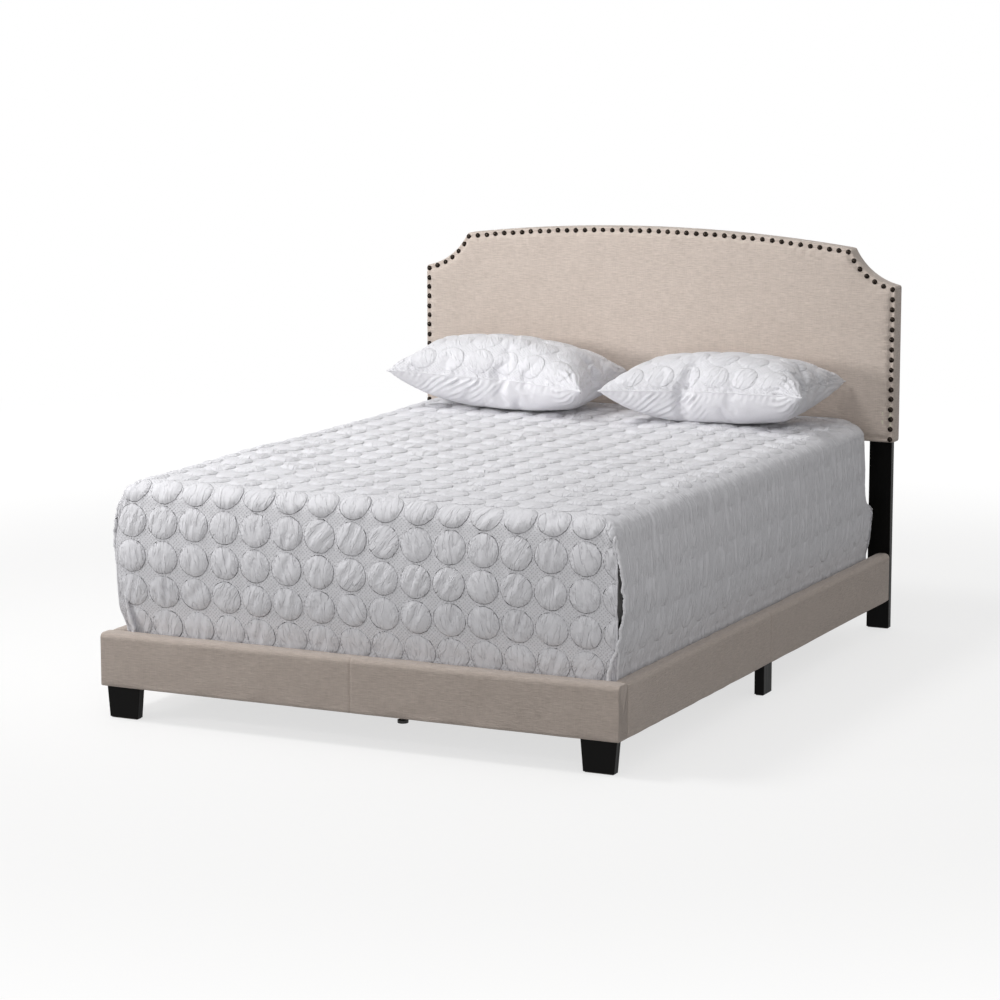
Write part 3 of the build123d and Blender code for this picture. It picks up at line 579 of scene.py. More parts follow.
@dataclass(frozen=True)
class Lacquer:
    """Near-black satin lacquer, with a trace of grain and rubbed edges."""

    name: str = "dark_lacquer"
    colour: Triple = (0.0032, 0.003, 0.0028)

    def material(self) -> Material:
        """Grain that runs up the piece, and small wear.

        Returns:
            The material.
        """
        s = Shader(self.name)
        grain = s.noise(s.place((90, 90, 5)), 1, 5, 0.6)
        scuff = s.noise(s.place(), 46, 5, 0.7)
        worn = s.ramp(scuff, 0.66, 0.78)
        colour = s.mix(s.times(worn, 0.25), self.colour, (0.06, 0.045, 0.035))
        rough = s.node("MapRange", in_Value=grain, in_1=0.3, in_2=0.7, in_3=0.34, in_4=0.5).outputs[0]
        return s.finish(colour, rough, s.bump(grain, 0.00025), Specular_IOR_Level=0.09)


@dataclass(frozen=True)
class Timber:
    """Bare wood with grain along one axis."""

    name: str
    light: Triple
    dark: Triple
    stretch: Triple = (3, 60, 60)
    rough: float = 0.7

    def material(self) -> Material:
        """Growth rings, pores and small tone changes.

        Returns:
            The material.
        """
        s = Shader(self.name)
        warp = s.noise(s.place((1.2, 6, 6)), 1, 3)
        rings = s.node(
            "TexWave",
            in_Vector=s.place(tuple(v * 0.3 for v in self.stretch)),
            in_Scale=1.4,
            in_Distortion=7,
            in_Detail=4,
            in_Detail_Scale=1.2,
        ).outputs["Fac"]
        pores = s.noise(s.place(tuple(v * 4 for v in self.stretch)), 1, 3, 0.6)
        tone = s.math("ADD", s.times(rings, 0.55), s.times(warp, 0.5))
        colour = s.mix(tone, self.light, self.dark)
        colour = s.mix(s.times(s.ramp(pores, 0.55, 0.8), 0.35), colour, self.dark)
        return s.finish(colour, self.rough, s.bump(pores, 0.0003))


@dataclass(frozen=True)
class Metal:
    """A metal with fine scratches and darker patches."""

    name: str
    colour: Triple
    patch: Triple
    rough: tuple[float, float] = (0.25, 0.5)
    metallic: float = 1.0

    def material(self) -> Material:
        """Patches change the tone and the gloss together.

        Returns:
            The material.
        """
        s = Shader(self.name)
        spots = s.noise(s.place(), 140, 4, 0.6)
        lines = s.noise(s.place((900, 60, 900)), 1, 2)
        rough = s.node(
            "MapRange", in_Value=spots, in_1=0.3, in_2=0.7, in_3=self.rough[0], in_4=self.rough[1]
        ).outputs[0]
        colour = s.mix(s.ramp(spots, 0.35, 0.75), self.colour, self.patch)
        return s.finish(colour, rough, s.bump(lines, 0.00004), Metallic=self.metallic)


@dataclass(frozen=True)
class SoftFill:
    """Foam, felt or moulded plastic: small cells in one plain tone with soft mottling."""

    name: str
    colour: Triple
    grain: float = 420
    depth: float = 0.0006
    rough: float = 0.9

    def material(self) -> Material:
        """Cells as bumps, and soft mottling in the colour.

        Returns:
            The material.
        """
        s = Shader(self.name)
        cells = s.node("TexVoronoi", in_Vector=s.place(), in_Scale=self.grain).outputs["Distance"]
        cloud = s.noise(s.place(), 22, 4, 0.6)
        colour = s.mix(s.ramp(cloud, 0.3, 0.7), self.colour, shade(self.colour, 0.82))
        return s.finish(colour, self.rough, s.bump(cells, self.depth))


@dataclass(frozen=True)
class PlainCloth:
    """A fine cloth, woven or felted, for covers that show only when the bed is taken apart."""

    name: str
    colour: Triple
    knit: float = 420
    depth: float = 0.0004

    def material(self) -> Material:
        """Crossed threads with soft mottling.

        Returns:
            The material.
        """
        s = Shader(self.name)
        one = s.node("TexWave", in_Vector=s.cloth(), in_Scale=self.knit, bands_direction="X").outputs["Fac"]
        two = s.node("TexWave", in_Vector=s.cloth(), in_Scale=self.knit, bands_direction="Y").outputs["Fac"]
        cloud = s.noise(s.cloth(), 14, 4, 0.6)
        colour = s.mix(s.ramp(cloud, 0.3, 0.75), self.colour, shade(self.colour, 0.86))
        normal = s.bump(s.times(one, two), self.depth)
        return s.finish(colour, 0.9, s.bump(cloud, 0.002, normal), Sheen_Weight=0.1, Specular_IOR_Level=0.2)


class Finishes:
    """Every material of the bed, made once, and which CAD slot takes which."""

    def __init__(self) -> None:
        """Makes them all."""
        self.linen = Linen().material()
        # The rails' linen is the headboard's cloth at about 0.82 of its tone: painted shade for rails that
        # stand low in shade.
        self.shaded_rail_linen = Linen("shaded_rail_linen", (0.68, 0.583, 0.517), (0.435, 0.368, 0.322)).material()
        self.quilt = QuiltedCotton().material()
        self.plain_cotton = WashedCotton("plain_cotton").material()
        self.lacquer = Lacquer().material()
        self.nail = Metal(
            "blackened_bronze", (0.014, 0.0115, 0.010), (0.036, 0.027, 0.021), (0.16, 0.32)
        ).material()
        self.thread = SoftFill("linen_thread", (0.52, 0.45, 0.39), 2500, 0.0001).material()
        self.white_thread = SoftFill("white_thread", (0.82, 0.82, 0.84), 2500, 0.0001).material()
        self.staple = Metal("staple_wire", (0.6, 0.6, 0.6), (0.35, 0.35, 0.36)).material()
        self.ticking = PlainCloth("ticking", (0.78, 0.77, 0.75)).material()
        self.spring_cloth = PlainCloth("box_spring_cloth", (0.66, 0.65, 0.63)).material()
        self.dust_cloth = PlainCloth("dust_cloth", (0.035, 0.035, 0.038), 260, 0.0003).material()
        self.by_slot = {
            "dark_wood": self.lacquer,
            "pine": Timber("pine", (0.70, 0.53, 0.34), (0.50, 0.33, 0.18)).material(),
            "board": Timber("plywood", (0.60, 0.45, 0.29), (0.44, 0.30, 0.17), (5, 30, 90)).material(),
            "padding": SoftFill("padding_foam", (0.82, 0.77, 0.62)).material(),
            "mattress_foam": SoftFill("mattress_foam", (0.85, 0.82, 0.72)).material(),
            "stuffing": SoftFill("pillow_filling", (0.86, 0.86, 0.86), 300, 0.001).material(),
            "felt": SoftFill("felt", (0.20, 0.18, 0.165), 1400, 0.0004, 0.95).material(),
            "zinc_steel": Metal("zinc_steel", (0.62, 0.62, 0.60), (0.42, 0.42, 0.40)).material(),
            "black_steel": Metal(
                "black_steel", (0.035, 0.035, 0.035), (0.02, 0.02, 0.02), (0.35, 0.55), 0.6
            ).material(),
            "nylon": SoftFill("nylon", (0.035, 0.035, 0.035), 1200, 0.00005, 0.45).material(),
            "linen": self.linen,
            "quilt_cotton": self.plain_cotton,
            "sham_cotton": self.plain_cotton,
            "bound_edge": self.plain_cotton,
            "bronze_nail": self.nail,
            "ticking": self.ticking,
            "dust_cloth": self.dust_cloth,
        }

    def dress_nodes(self) -> None:
        """Gives every CAD node that is still shown the finish of its slot."""
        for row in frame["record"]["subparts"]:
            node = frame["nodes"][row["node"]]
            node.data.materials.clear()
            node.data.materials.append(self.by_slot[row["material_slot"]])


def declare(obj: Object, body: str, slot: str, *nodes: str) -> None:
    """Lets a piece ride on a body and hides the CAD nodes that it stands for.

    Args:
        obj: The mesh object.
        body: The moving body that carries it.
        slot: The CAD material slot that it takes the place of; not used.
        nodes: The CAD nodes that it stands for.
    """
    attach(obj, body)
    if nodes:
        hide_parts(*nodes)
    log.info("%s: %d faces on %s", obj.name, len(obj.data.polygons), body)


def give(obj: Object, material: Material, body: str, slot: str, *nodes: str) -> None:
    """Puts a material on a piece, lets it ride on a body and hides the CAD nodes that it stands for.

    Args:
        obj: The mesh object.
        material: The material that covers it.
        body: The moving body that carries it.
        slot: The CAD material slot that it takes the place of.
        nodes: The CAD nodes that it stands for.
    """
    obj.data.materials.clear()
    obj.data.materials.append(material)
    declare(obj, body, slot, *nodes)


class Repeats:
    """Small pieces set along points by Geometry Nodes, turned into one plain mesh."""

    def __init__(
        self,
        name: str,
        radius: float,
        height: float,
        length: float,
        segments: int,
        rings: int,
    ) -> None:
        """Builds the node tree: a ball scaled to radius, length and height, on every point.

        Args:
            name: The tree's name.
            radius: Half width across the row.
            height: Half height off the surface.
            length: Half length along the row.
            segments: Segments round the ball.
            rings: Rings of the ball.
        """
        tree = bpy.data.node_groups.new(name, "GeometryNodeTree")
        face = tree.interface
        face.new_socket("Geometry", in_out="INPUT", socket_type="NodeSocketGeometry")
        self.sockets = {
            word: face.new_socket(word, in_out="INPUT", socket_type=kind).identifier
            for word, kind in (
                ("Half size", "NodeSocketVector"),
                ("Unevenness", "NodeSocketFloat"),
                ("Finish", "NodeSocketMaterial"),
            )
        }
        face.new_socket("Geometry", in_out="OUTPUT", socket_type="NodeSocketGeometry")
        new = tree.nodes.new
        entry, end = new("NodeGroupInput"), new("NodeGroupOutput")
        ball, scaled = new("GeometryNodeMeshUVSphere"), new("GeometryNodeTransform")
        onto = new("GeometryNodeInstanceOnPoints")
        ball.inputs["Segments"].default_value, ball.inputs["Rings"].default_value = segments, rings
        ball.inputs["Radius"].default_value = 1
        turned, uneven = new("GeometryNodeInputNamedAttribute"), new("FunctionNodeRandomValue")
        turned.data_type = "FLOAT_VECTOR"
        turned.inputs["Name"].default_value = "turn"
        uneven.data_type = "FLOAT"
        uneven.inputs["Seed"].default_value = 11
        low, high = new("ShaderNodeMath"), new("ShaderNodeMath")
        low.operation, high.operation = "SUBTRACT", "ADD"
        real, paint = new("GeometryNodeRealizeInstances"), new("GeometryNodeSetMaterial")
        join = tree.links.new
        for half in (low, high):
            half.inputs[0].default_value = 1
            join(entry.outputs["Unevenness"], half.inputs[1])
        join(low.outputs[0], uneven.inputs[2])
        join(high.outputs[0], uneven.inputs[3])
        join(ball.outputs["Mesh"], scaled.inputs["Geometry"])
        join(entry.outputs["Half size"], scaled.inputs["Scale"])
        join(entry.outputs["Geometry"], onto.inputs["Points"])
        join(scaled.outputs["Geometry"], onto.inputs["Instance"])
        join(turned.outputs[0], onto.inputs["Rotation"])
        join(uneven.outputs[1], onto.inputs["Scale"])
        join(onto.outputs["Instances"], real.inputs["Geometry"])
        join(real.outputs["Geometry"], paint.inputs["Geometry"])
        join(entry.outputs["Finish"], paint.inputs["Material"])
        join(paint.outputs["Geometry"], end.inputs["Geometry"])
        self.tree, self.half = tree, (length, radius, height)

    def along(
        self,
        name: str,
        points: Array,
        turns: Array,
        material: Material,
        uneven: float = 0.0,
    ) -> Object:
        """Sets the small piece on points and returns one plain mesh.

        Args:
            name: The new piece's name.
            points: A row of x, y, z for each copy.
            turns: Euler turns of each copy, its long way being x and its height z.
            material: The finish.
            uneven: How much the copies differ in size, as a share.

        Returns:
            The finished mesh object.
        """
        mesh = bpy.data.meshes.new(name + "_points")
        mesh.from_pydata(np.asarray(points).tolist(), [], [])
        turn = mesh.attributes.new("turn", "FLOAT_VECTOR", "POINT")
        turn.data.foreach_set("vector", np.asarray(turns, np.float32).ravel())
        seeds = add_object(name + "_points", mesh)
        modifier = seeds.modifiers.new("repeat", "NODES")
        modifier.node_group = self.tree
        modifier[self.sockets["Half size"]] = self.half
        modifier[self.sockets["Unevenness"]] = uneven
        modifier[self.sockets["Finish"]] = material
        made = finished_mesh(seeds)
        bpy.data.objects.remove(seeds)
        made.name = name
        made.polygons.foreach_set("use_smooth", [True] * len(made.polygons))
        return add_object(name, made)


def turns_along(points: Array, up: Sequence[float]) -> Array:
    """Euler turns that lay x along a row of points and z along up.

    Args:
        points: The points, one a row.
        up: The direction that each piece's top faces.

    Returns:
        Euler angles for each point.
    """
    ahead = np.gradient(np.asarray(points, float), axis=0)
    turns = []
    for direction in ahead:
        x = Vector(direction).normalized()
        z = Vector(up)
        z = (z - z.dot(x) * x).normalized()
        y = z.cross(x)
        turns.append(tuple(Matrix((x, y, z)).transposed().to_euler()))
    return np.array(turns)


def spaced(points: Array, step: float) -> Array:
    """Points at even steps along a polyline.

    Args:
        points: The points, one a row.
        step: Distance from point to point.

    Returns:
        Evenly spaced points along the line.
    """
    points = np.asarray(points, float)
    run = run_along(points)
    marks = np.linspace(0, run[-1], max(2, round(run[-1] / step) + 1))
    return np.stack([np.interp(marks, run, points[:, k]) for k in range(3)], 1)


def roll(
    name: str,
    path: Array,
    radius: Callable[[Array], Array] | float,
    sides: int = 10,
    crimp: Callable[[Array, Array], Array] | None = None,
) -> Object:
    """A closed tube along a path, as piping or a bound edge.

    Args:
        name: The piece's name.
        path: Points along the middle of the tube.
        radius: The radius, or its value along the run in metres.
        sides: Corners round the tube.
        crimp: Adds to the radius by run and angle.

    Returns:
        The tube, its ends closed.
    """
    path = np.asarray(path, float)
    ahead = np.gradient(path, axis=0)
    ahead /= np.linalg.norm(ahead, axis=1)[:, None]
    run = run_along(path)
    side = np.cross(ahead, [0.13, 0.21, 0.97])
    side /= np.linalg.norm(side, axis=1)[:, None]
    up = np.cross(side, ahead)
    angle = np.arange(sides) / sides * TAU
    wide = radius(run)[:, None] if callable(radius) else np.full((len(path), 1), radius)
    if crimp is not None:
        wide = wide + crimp(run[:, None], angle[None, :])
    wide = np.broadcast_to(wide, (len(path), sides))
    rim = side[:, None] * np.cos(angle)[None, :, None] + up[:, None] * np.sin(angle)[None, :, None]
    points = (path[:, None] + rim * wide[:, :, None]).reshape(-1, 3)
    faces = lattice(len(path), sides, closed=True, flip=True)
    ends = len(points)
    points = np.concatenate([points, path[:1], path[-1:]])
    last = (len(path) - 1) * sides
    faces += [(ends, (k + 1) % sides, k) for k in range(sides)]
    faces += [(ends + 1, last + k, last + (k + 1) % sides) for k in range(sides)]
    cloth = np.stack([np.repeat(run, sides), np.tile(angle * 0.004, len(path))], 1)
    cloth = np.concatenate([cloth, [[0, 0], [run[-1], 0]]])
    return make_piece(name, points, faces, cloth)


@dataclass
class Headboard:
    """The nailed, scooped headboard: its cover, nails and dust cloth."""

    finishes: Finishes
    half: float = 0.835
    bottom: float = 0.617
    shoulder: float = 1.118
    notch_x: float = 0.681
    notch_z: float = 1.232
    top: float = 1.275
    sagitta: float = 0.023
    front: float = 1.016
    back: float = 1.071
    nail_inset: float = 0.012
    nail_pitch: float = 0.0328
    nail_radius: float = 0.0086
    field_rise: float = 0.0086
    per_nail: int = 6

    def __post_init__(self) -> None:
        """Works out the arcs of the top and of the right scoop."""
        rise = self.top - self.notch_z
        self.top_radius = (self.notch_x**2 + rise**2) / (2 * rise)
        self.top_centre = np.array([0, self.top - self.top_radius])
        a, b = np.array([self.notch_x, self.notch_z]), np.array([self.half, self.shoulder])
        chord = np.linalg.norm(b - a)
        self.scoop_radius = (chord / 2) ** 2 / (2 * self.sagitta) + self.sagitta / 2
        inward = np.array([(b - a)[1], -(b - a)[0]]) / chord
        self.scoop_centre = (a + b) / 2 - (self.scoop_radius - self.sagitta) * inward
        ring = self.corners(self.nail_inset)
        self.counts = [50, *(round(self.run(ring, k) / self.nail_pitch) for k in range(3))]

    def corners(self, inset: float) -> tuple[Array, Array]:
        """Shoulder and notch corner on the right, drawn in by inset.

        Args:
            inset: Distance inside the outline.

        Returns:
            The shoulder and the notch corner.
        """
        r0, r1 = self.top_radius - inset, self.scoop_radius + inset
        x = self.half - inset
        shoulder = np.array([x, self.scoop_centre[1] - math.sqrt(r1**2 - (x - self.scoop_centre[0]) ** 2)])
        between = self.scoop_centre - self.top_centre
        far = np.linalg.norm(between)
        along = (r0**2 - r1**2 + far**2) / (2 * far)
        high = math.sqrt(r0**2 - along**2)
        unit = between / far
        notch = self.top_centre + along * unit + high * np.array([-unit[1], unit[0]])
        return shoulder, notch

    def run(self, ring: tuple[Array, Array], edge: int) -> float:
        """Length of the right side, the right scoop or the top at the nail line.

        Args:
            ring: The shoulder and the notch corner of the line.
            edge: 0 for the side, 1 for the scoop, 2 for the top.

        Returns:
            Its length.
        """
        shoulder, notch = ring
        if edge == 0:
            return shoulder[1] - self.bottom - self.nail_inset
        if edge == 1:
            radius = self.scoop_radius + self.nail_inset
            return float(2 * radius * math.asin(np.linalg.norm(notch - shoulder) / 2 / radius))
        return float(2 * self.top_radius * math.asin(notch[0] / self.top_radius))

    def ring(self, inset: float, per_nail: int | None = None) -> tuple[Array, Array]:
        """The outline drawn in by inset, anticlockwise from the lower left.

        Args:
            inset: Distance inside the outline.
            per_nail: Points from nail to nail.

        Returns:
            The points in X and Z, and each one's place between its nails.
        """
        per = per_nail or self.per_nail
        shoulder, notch = self.corners(inset)
        low = self.bottom + inset
        bottom, side, scoop, top = (c * per for c in self.counts)
        share = lambda n: np.arange(n)[:, None] / n
        wheel = lambda centre, start, end, n: self.swing(centre, start, end, share(n))
        right = np.array([self.half - inset, low])
        mirror = np.array([-1, 1])
        parts = [
            right * mirror + share(bottom) * (right - right * mirror),
            right + share(side) * (shoulder - right),
            wheel(self.scoop_centre, shoulder, notch, scoop),
            wheel(self.top_centre, notch, notch * mirror, top),
            wheel(self.scoop_centre * mirror, notch * mirror, shoulder * mirror, scoop),
            shoulder * mirror + share(side) * (right * mirror - shoulder * mirror),
        ]
        phase = np.concatenate([np.arange(len(p)) / per for p in parts])
        points = np.concatenate(parts)
        if inset < 0.009 and per_nail is None:
            for _ in range(2):
                points = (np.roll(points, 1, 0) + 2 * points + np.roll(points, -1, 0)) / 4
        return points, phase

    @staticmethod
    def swing(centre: Array, start: Array, end: Array, share: Array) -> Array:
        """Points on the arc from start to end round centre, the short way.

        Args:
            centre: The arc's centre.
            start: Where it starts.
            end: Where it ends.
            share: Places along it, from 0 to 1.

        Returns:
            The points on the arc.
        """
        a = math.atan2(*(start - centre)[::-1])
        b = math.atan2(*(end - centre)[::-1])
        b += TAU * round((a - b) / TAU)
        angle = a + share * (b - a)
        return centre + np.linalg.norm(start - centre) * np.concatenate([np.cos(angle), np.sin(angle)], 1)

    def cover(self) -> None:
        """The linen cover: border, pinched nail line, raised field, edges and back rim."""
        f, b, rise = self.front, self.back, self.field_rise
        f -= 0.0008
        profile = [
            (0.0400, b - 0.0030), (0.0398, b - 0.0003), (0.0200, b + 0.0002), (0.0060, b),
            (0.0022, b - 0.0016), (0.0005, b - 0.0045), (0.0, b - 0.009), (0.0, b - 0.022),
            (0.0, f + 0.016), (0.0004, f + 0.0085), (0.0016, f + 0.0040), (0.0036, f + 0.0012),
            (0.0062, f - 0.0008), (0.0092, f - 0.0004), (0.0122, f + 0.0006), (0.0152, f + 0.0002),
            (0.0182, f - 0.14 * rise), (0.0208, f - 0.38 * rise), (0.0236, f - 0.62 * rise),
            (0.0272, f - 0.79 * rise), (0.0330, f - 0.90 * rise), (0.0420, f - 0.96 * rise),
            (0.0580, f - rise), (0.0800, f - rise - 0.0006),
        ]
        rows, cloth = [], []
        soft = Ripples(3, 0.16)
        for inset, y in profile:
            plan, phase = self.ring(inset)
            away = np.abs(phase - np.round(phase)) * self.nail_pitch
            pinch = 0.0008 * np.exp(-((away / 0.007) ** 2 + ((inset - self.nail_inset) / 0.006) ** 2))
            near = float(np.interp(inset, [0.013, 0.0190, 0.028, 0.055], [0, 1, 0.8, 0]))
            fullness = 0.75 + 0.45 * soft.at(plan[:, 0], plan[:, 1] * 1.7)
            pleat = 0.0011 * near * np.cos(TAU * phase) * fullness
            wave = 0.0007 * soft.at(plan[:, 0] + 3, plan[:, 1]) * (1 if y < f + 0.01 else 0.3)
            depth = y + pinch + pleat + wave * float(ease(inset, 0.0, 0.01))
            rows.append(np.stack([plan[:, 0], depth, plan[:, 1]], 1))
            wrap = max(0.0, y - f)
            spill = np.stack(
                [
                    np.sign(plan[:, 0]) * (np.abs(plan[:, 0]) > self.half - inset - 0.02),
                    plan[:, 1] > self.shoulder - 0.01,
                ],
                1,
            )
            cloth.append(plan + spill * wrap)
        count = len(rows[0])
        points = np.concatenate(rows)
        coords = np.concatenate(cloth)
        faces = lattice(len(rows), count, closed=True)
        inner, _ = self.ring(profile[-1][0])
        places, cells, origin = self.filled(inner, profile[-1][0] + 0.010, 0.022)
        table, extra, extra_cloth = {}, [], []
        for number, (place, from_) in enumerate(zip(places, origin)):
            if from_ and from_[0] < count:
                table[number] = (len(rows) - 1) * count + from_[0]
                continue
            x, z = place
            puff = 0.0002 * math.cos(x / 1.7 * math.pi) * math.cos((z - 0.95) / 0.66 * math.pi * 0.9)
            y = f - rise - 0.0006 - max(0, puff) + 0.0007 * float(soft.at(np.array(x + 3), np.array(z)))
            table[number] = len(points) + len(extra)
            extra.append((x, y, z))
            extra_cloth.append((x, z))
        points = np.concatenate([points, np.array(extra)])
        coords = np.concatenate([coords, np.array(extra_cloth)])
        faces += [tuple(table[v] for v in cell) for cell in cells]
        cover = make_piece("linen_headboard_cover", points, faces, coords)
        give(cover, self.finishes.linen, "bed_frame", "linen", "headboard_cover")

    def inside(self, points: Array, inset: float) -> Array:
        """Which points lie inside the outline drawn in by inset.

        Args:
            points: Places in X and Z.
            inset: Distance inside the outline.

        Returns:
            True for each point that lies inside.
        """
        x, z = np.abs(points[:, 0]), points[:, 1]
        within = (x < self.half - inset) & (z > self.bottom + inset)
        within &= np.hypot(points[:, 0], z - self.top_centre[1]) < self.top_radius - inset
        return within & (
            np.hypot(x - self.scoop_centre[0], z - self.scoop_centre[1]) > self.scoop_radius + inset
        )

    def filled(self, outline: Array, inset: float, step: float) -> tuple[Sequence, Sequence, Sequence]:
        """Triangles across a closed outline, over a loose grid of points inside it.

        Args:
            outline: The outline's points in X and Z.
            inset: Distance of the grid inside the headboard's own outline.
            step: The grid's step.

        Returns:
            The points, the triangles, and which of the outline's points each point comes from.
        """
        wide, high = np.arange(-self.half, self.half, step), np.arange(self.bottom, self.top, step)
        grid = np.stack(np.meshgrid(wide, high), -1).reshape(-1, 2)
        flat = np.concatenate([outline, grid[self.inside(grid, inset)]])
        edges = [(k, (k + 1) % len(outline)) for k in range(len(outline))]
        made = geometry.delaunay_2d_cdt([Vector(p) for p in flat.tolist()], edges, [], 1, 1e-7)
        return made[0], made[2], made[3]

    def nails(self) -> None:
        """The row of domed nail heads along both sides and the scooped top."""
        plan, _ = self.ring(self.nail_inset, 1)
        keep = np.ones(len(plan), bool)
        keep[: self.counts[0]] = False
        plan = np.concatenate([plan[keep], plan[:1]])
        rng = np.random.default_rng(5)
        plan = plan + rng.normal(0, 0.0007, plan.shape)
        places = np.stack([plan[:, 0], np.full(len(plan), self.front - 0.0006), plan[:, 1]], 1)
        turns = np.tile([math.pi / 2, 0, 0], (len(places), 1)) + rng.normal(0, 0.05, (len(places), 3))
        heads = Repeats("nail_heads", self.nail_radius, 0.0046, self.nail_radius, 18, 12)
        nails = heads.along("headboard_nail_heads", places, turns, self.finishes.nail, 0.04)
        give(nails, self.finishes.nail, "bed_frame", "bronze_nail", "headboard_nails")

    def dust_cloth(self) -> None:
        """The thin cloth stapled over the back, a little slack between its staples."""
        inset = 0.0385
        inner, _ = self.ring(inset, 4)
        places, cells, _ = self.filled(inner, inset + 0.012, 0.03)
        plan = np.array([tuple(p) for p in places])
        sag = Ripples(21, 0.22).at(plan[:, 0], plan[:, 1] * 0.6)
        depth = self.back - 0.0007 + 0.0008 * (1 + 0.5 * sag) * self.inside(plan, inset + 0.02)
        points = np.stack([plan[:, 0], depth, plan[:, 1]], 1)
        cloth = make_piece("headboard_back_cloth", points, [c[::-1] for c in cells], plan)
        give(cloth, self.finishes.dust_cloth, "bed_frame", "dust_cloth", "headboard_dust_cloth")
        rim, _ = self.ring(inset + 0.006, 1)
        rim = rim[::2]
        at = np.stack([rim[:, 0], np.full(len(rim), self.back - 0.0001), rim[:, 1]], 1)
        staples = Repeats("staples", 0.0004, 0.0005, 0.005, 6, 4).along(
            "headboard_staples", at, turns_along(at, (0, 1, 0)), self.finishes.staple
        )
        give(staples, self.finishes.staple, "bed_frame", "zinc_steel")


@dataclass
class Rails:
    """The padded foot rail and the four half side rails."""

    finishes: Finishes
    low: float = 0.094
    high: float = 0.248
    foot_front: float = -1.096
    foot_back: float = -1.036
    inner: float = 0.765
    outer: float = 0.810
    joint: float = 0.0175
    rear: float = 1.071
    top_radius: float = 0.015
    foot_radius: float = 0.005
    end_radius: float = 0.0035
    near_seam: tuple[float, ...] = (0.001, 0.0025, 0.0045, 0.007, 0.011, 0.016)

    def section(self, width: float, height: float, inset: float) -> tuple[Array, Array]:
        """A rounded upright section, its top corners softer than its bottom ones.

        Args:
            width: Full width.
            height: Full height.
            inset: Drawn in by this much all round.

        Returns:
            Points anticlockwise from the lower left, and the run along them.
        """
        top, low = max(self.top_radius - inset, 0.002), max(self.foot_radius - inset, 0.001)
        w, h = width / 2 - inset, height / 2 - inset
        points = []
        for cx, cz, r, start in (
            (-w + low, -h + low, low, 180), (w - low, -h + low, low, 270), (w - top, h - top, top, 0),
            (-w + top, h - top, top, 90),
        ):
            for k in range(7):
                angle = math.radians(start + 15 * k)
                points.append((cx + r * math.cos(angle), cz + r * math.sin(angle)))
        return densify(points, 0.02, (0, 0.02, 0.12, 0.24, 0.37, 0.5, 0.63, 0.76, 0.88, 0.98))

    def bolster(
        self,
        name: str,
        width: float,
        start: float,
        end: float,
        to_world: Callable[[Array, Array, Array], Array],
        seed: int,
        seams: Sequence[float] = (),
    ) -> Object:
        """A padded rail with rounded, closed ends and sunk seams.

        Args:
            name: The piece's name.
            width: The rail's thickness.
            start: Where it begins along its length.
            end: Where it ends.
            to_world: Turns run, across and height into world points.
            seed: Seed of its soft waves.
            seams: Places along it where two panels meet.

        Returns:
            The mesh.
        """
        height = self.high - self.low
        stops = [
            (start + self.end_radius * (1 - math.cos(a)), self.end_radius * (1 - math.sin(a)))
            for a in np.linspace(0, math.pi / 2, 6)
        ]
        far = [(end - (s - start), i) for s, i in reversed(stops)]
        middle = set(np.linspace(stops[-1][0], far[0][0], max(4, int((end - start) / 0.022))))
        middle |= {stops[-1][0] + 0.0015, far[0][0] - 0.0015}
        for seam in seams:
            middle = {m for m in middle if abs(m - seam) > self.near_seam[-1]}
            middle |= {seam, *(seam + d for d in self.near_seam), *(seam - d for d in self.near_seam)}
        middle = [(m, 0.0) for m in sorted(middle) if stops[-1][0] < m < far[0][0]]
        rows, cloth = [], []
        soft = Ripples(seed, 0.13)
        for along, inset in stops + middle + far:
            shape, run = self.section(width, height, inset)
            centred = shape / np.array([width / 2, height / 2])
            upper = ease(centred[:, 1], -1.0, 0.2)[:, None]
            swell = 0.0018 + 0.0007 * np.clip(soft.at(np.full(len(run), along), run), -1.6, 1.6)[:, None]
            sunk = 0.0
            for away in (abs(along - seam) for seam in seams):
                sunk += (
                    0.0020 * math.exp(-((away / 0.0030) ** 2))
                    - 0.0006 * math.exp(-(((away - 0.008) / 0.004) ** 2))
                )
            edge = 0.25 + 0.75 * float(ease(min(along - start, end - along), 0.0, 0.03))
            shape = (
                shape
                + (swell * edge - sunk) * centred * np.concatenate([np.ones_like(upper), upper * 0.6], 1)
            )
            shape[:, 1] = np.maximum(shape[:, 1], -height / 2)
            rows.append(
                to_world(np.full(len(run), along), shape[:, 0], shape[:, 1] + (self.low + self.high) / 2)
            )
            cloth.append(np.stack([np.full(len(run), along), run], 1))
        count = len(rows[0])
        points = np.concatenate(rows)
        faces = lattice(len(rows), count, closed=True)
        coords = np.concatenate(cloth)
        for row, flip in ((0, True), (len(rows) - 1, False)):
            centre = rows[row].mean(0)
            number = len(points)
            points = np.concatenate([points, centre[None]])
            coords = np.concatenate([coords, [[cloth[row][0, 0], 0.2]]])
            ring = [row * count + k for k in range(count)]
            for k in range(count):
                tri = (number, ring[k], ring[(k + 1) % count])
                faces.append(tri[::-1] if flip else tri)
        made = make_piece(name, points, faces, coords)
        return self.outward(made)

    @staticmethod
    def outward(obj: Object) -> Object:
        """Turns a closed mesh so that its faces point out.

        Args:
            obj: The mesh object.

        Returns:
            The same object.
        """
        work = bmesh.new()
        work.from_mesh(obj.data)
        bmesh.ops.recalc_face_normals(work, faces=work.faces)
        work.to_mesh(obj.data)
        work.free()
        return obj

    @staticmethod
    def along_x(middle: float) -> Callable[[Array, Array, Array], Array]:
        """Lays a rail's run along X, about the line y = middle."""
        return lambda run, across, z: np.stack([run, middle + across, z], 1)

    @staticmethod
    def along_y(middle: float) -> Callable[[Array, Array, Array], Array]:
        """Lays a rail's run along Y, about the line x = middle."""
        return lambda run, across, z: np.stack([middle + across, run, z], 1)

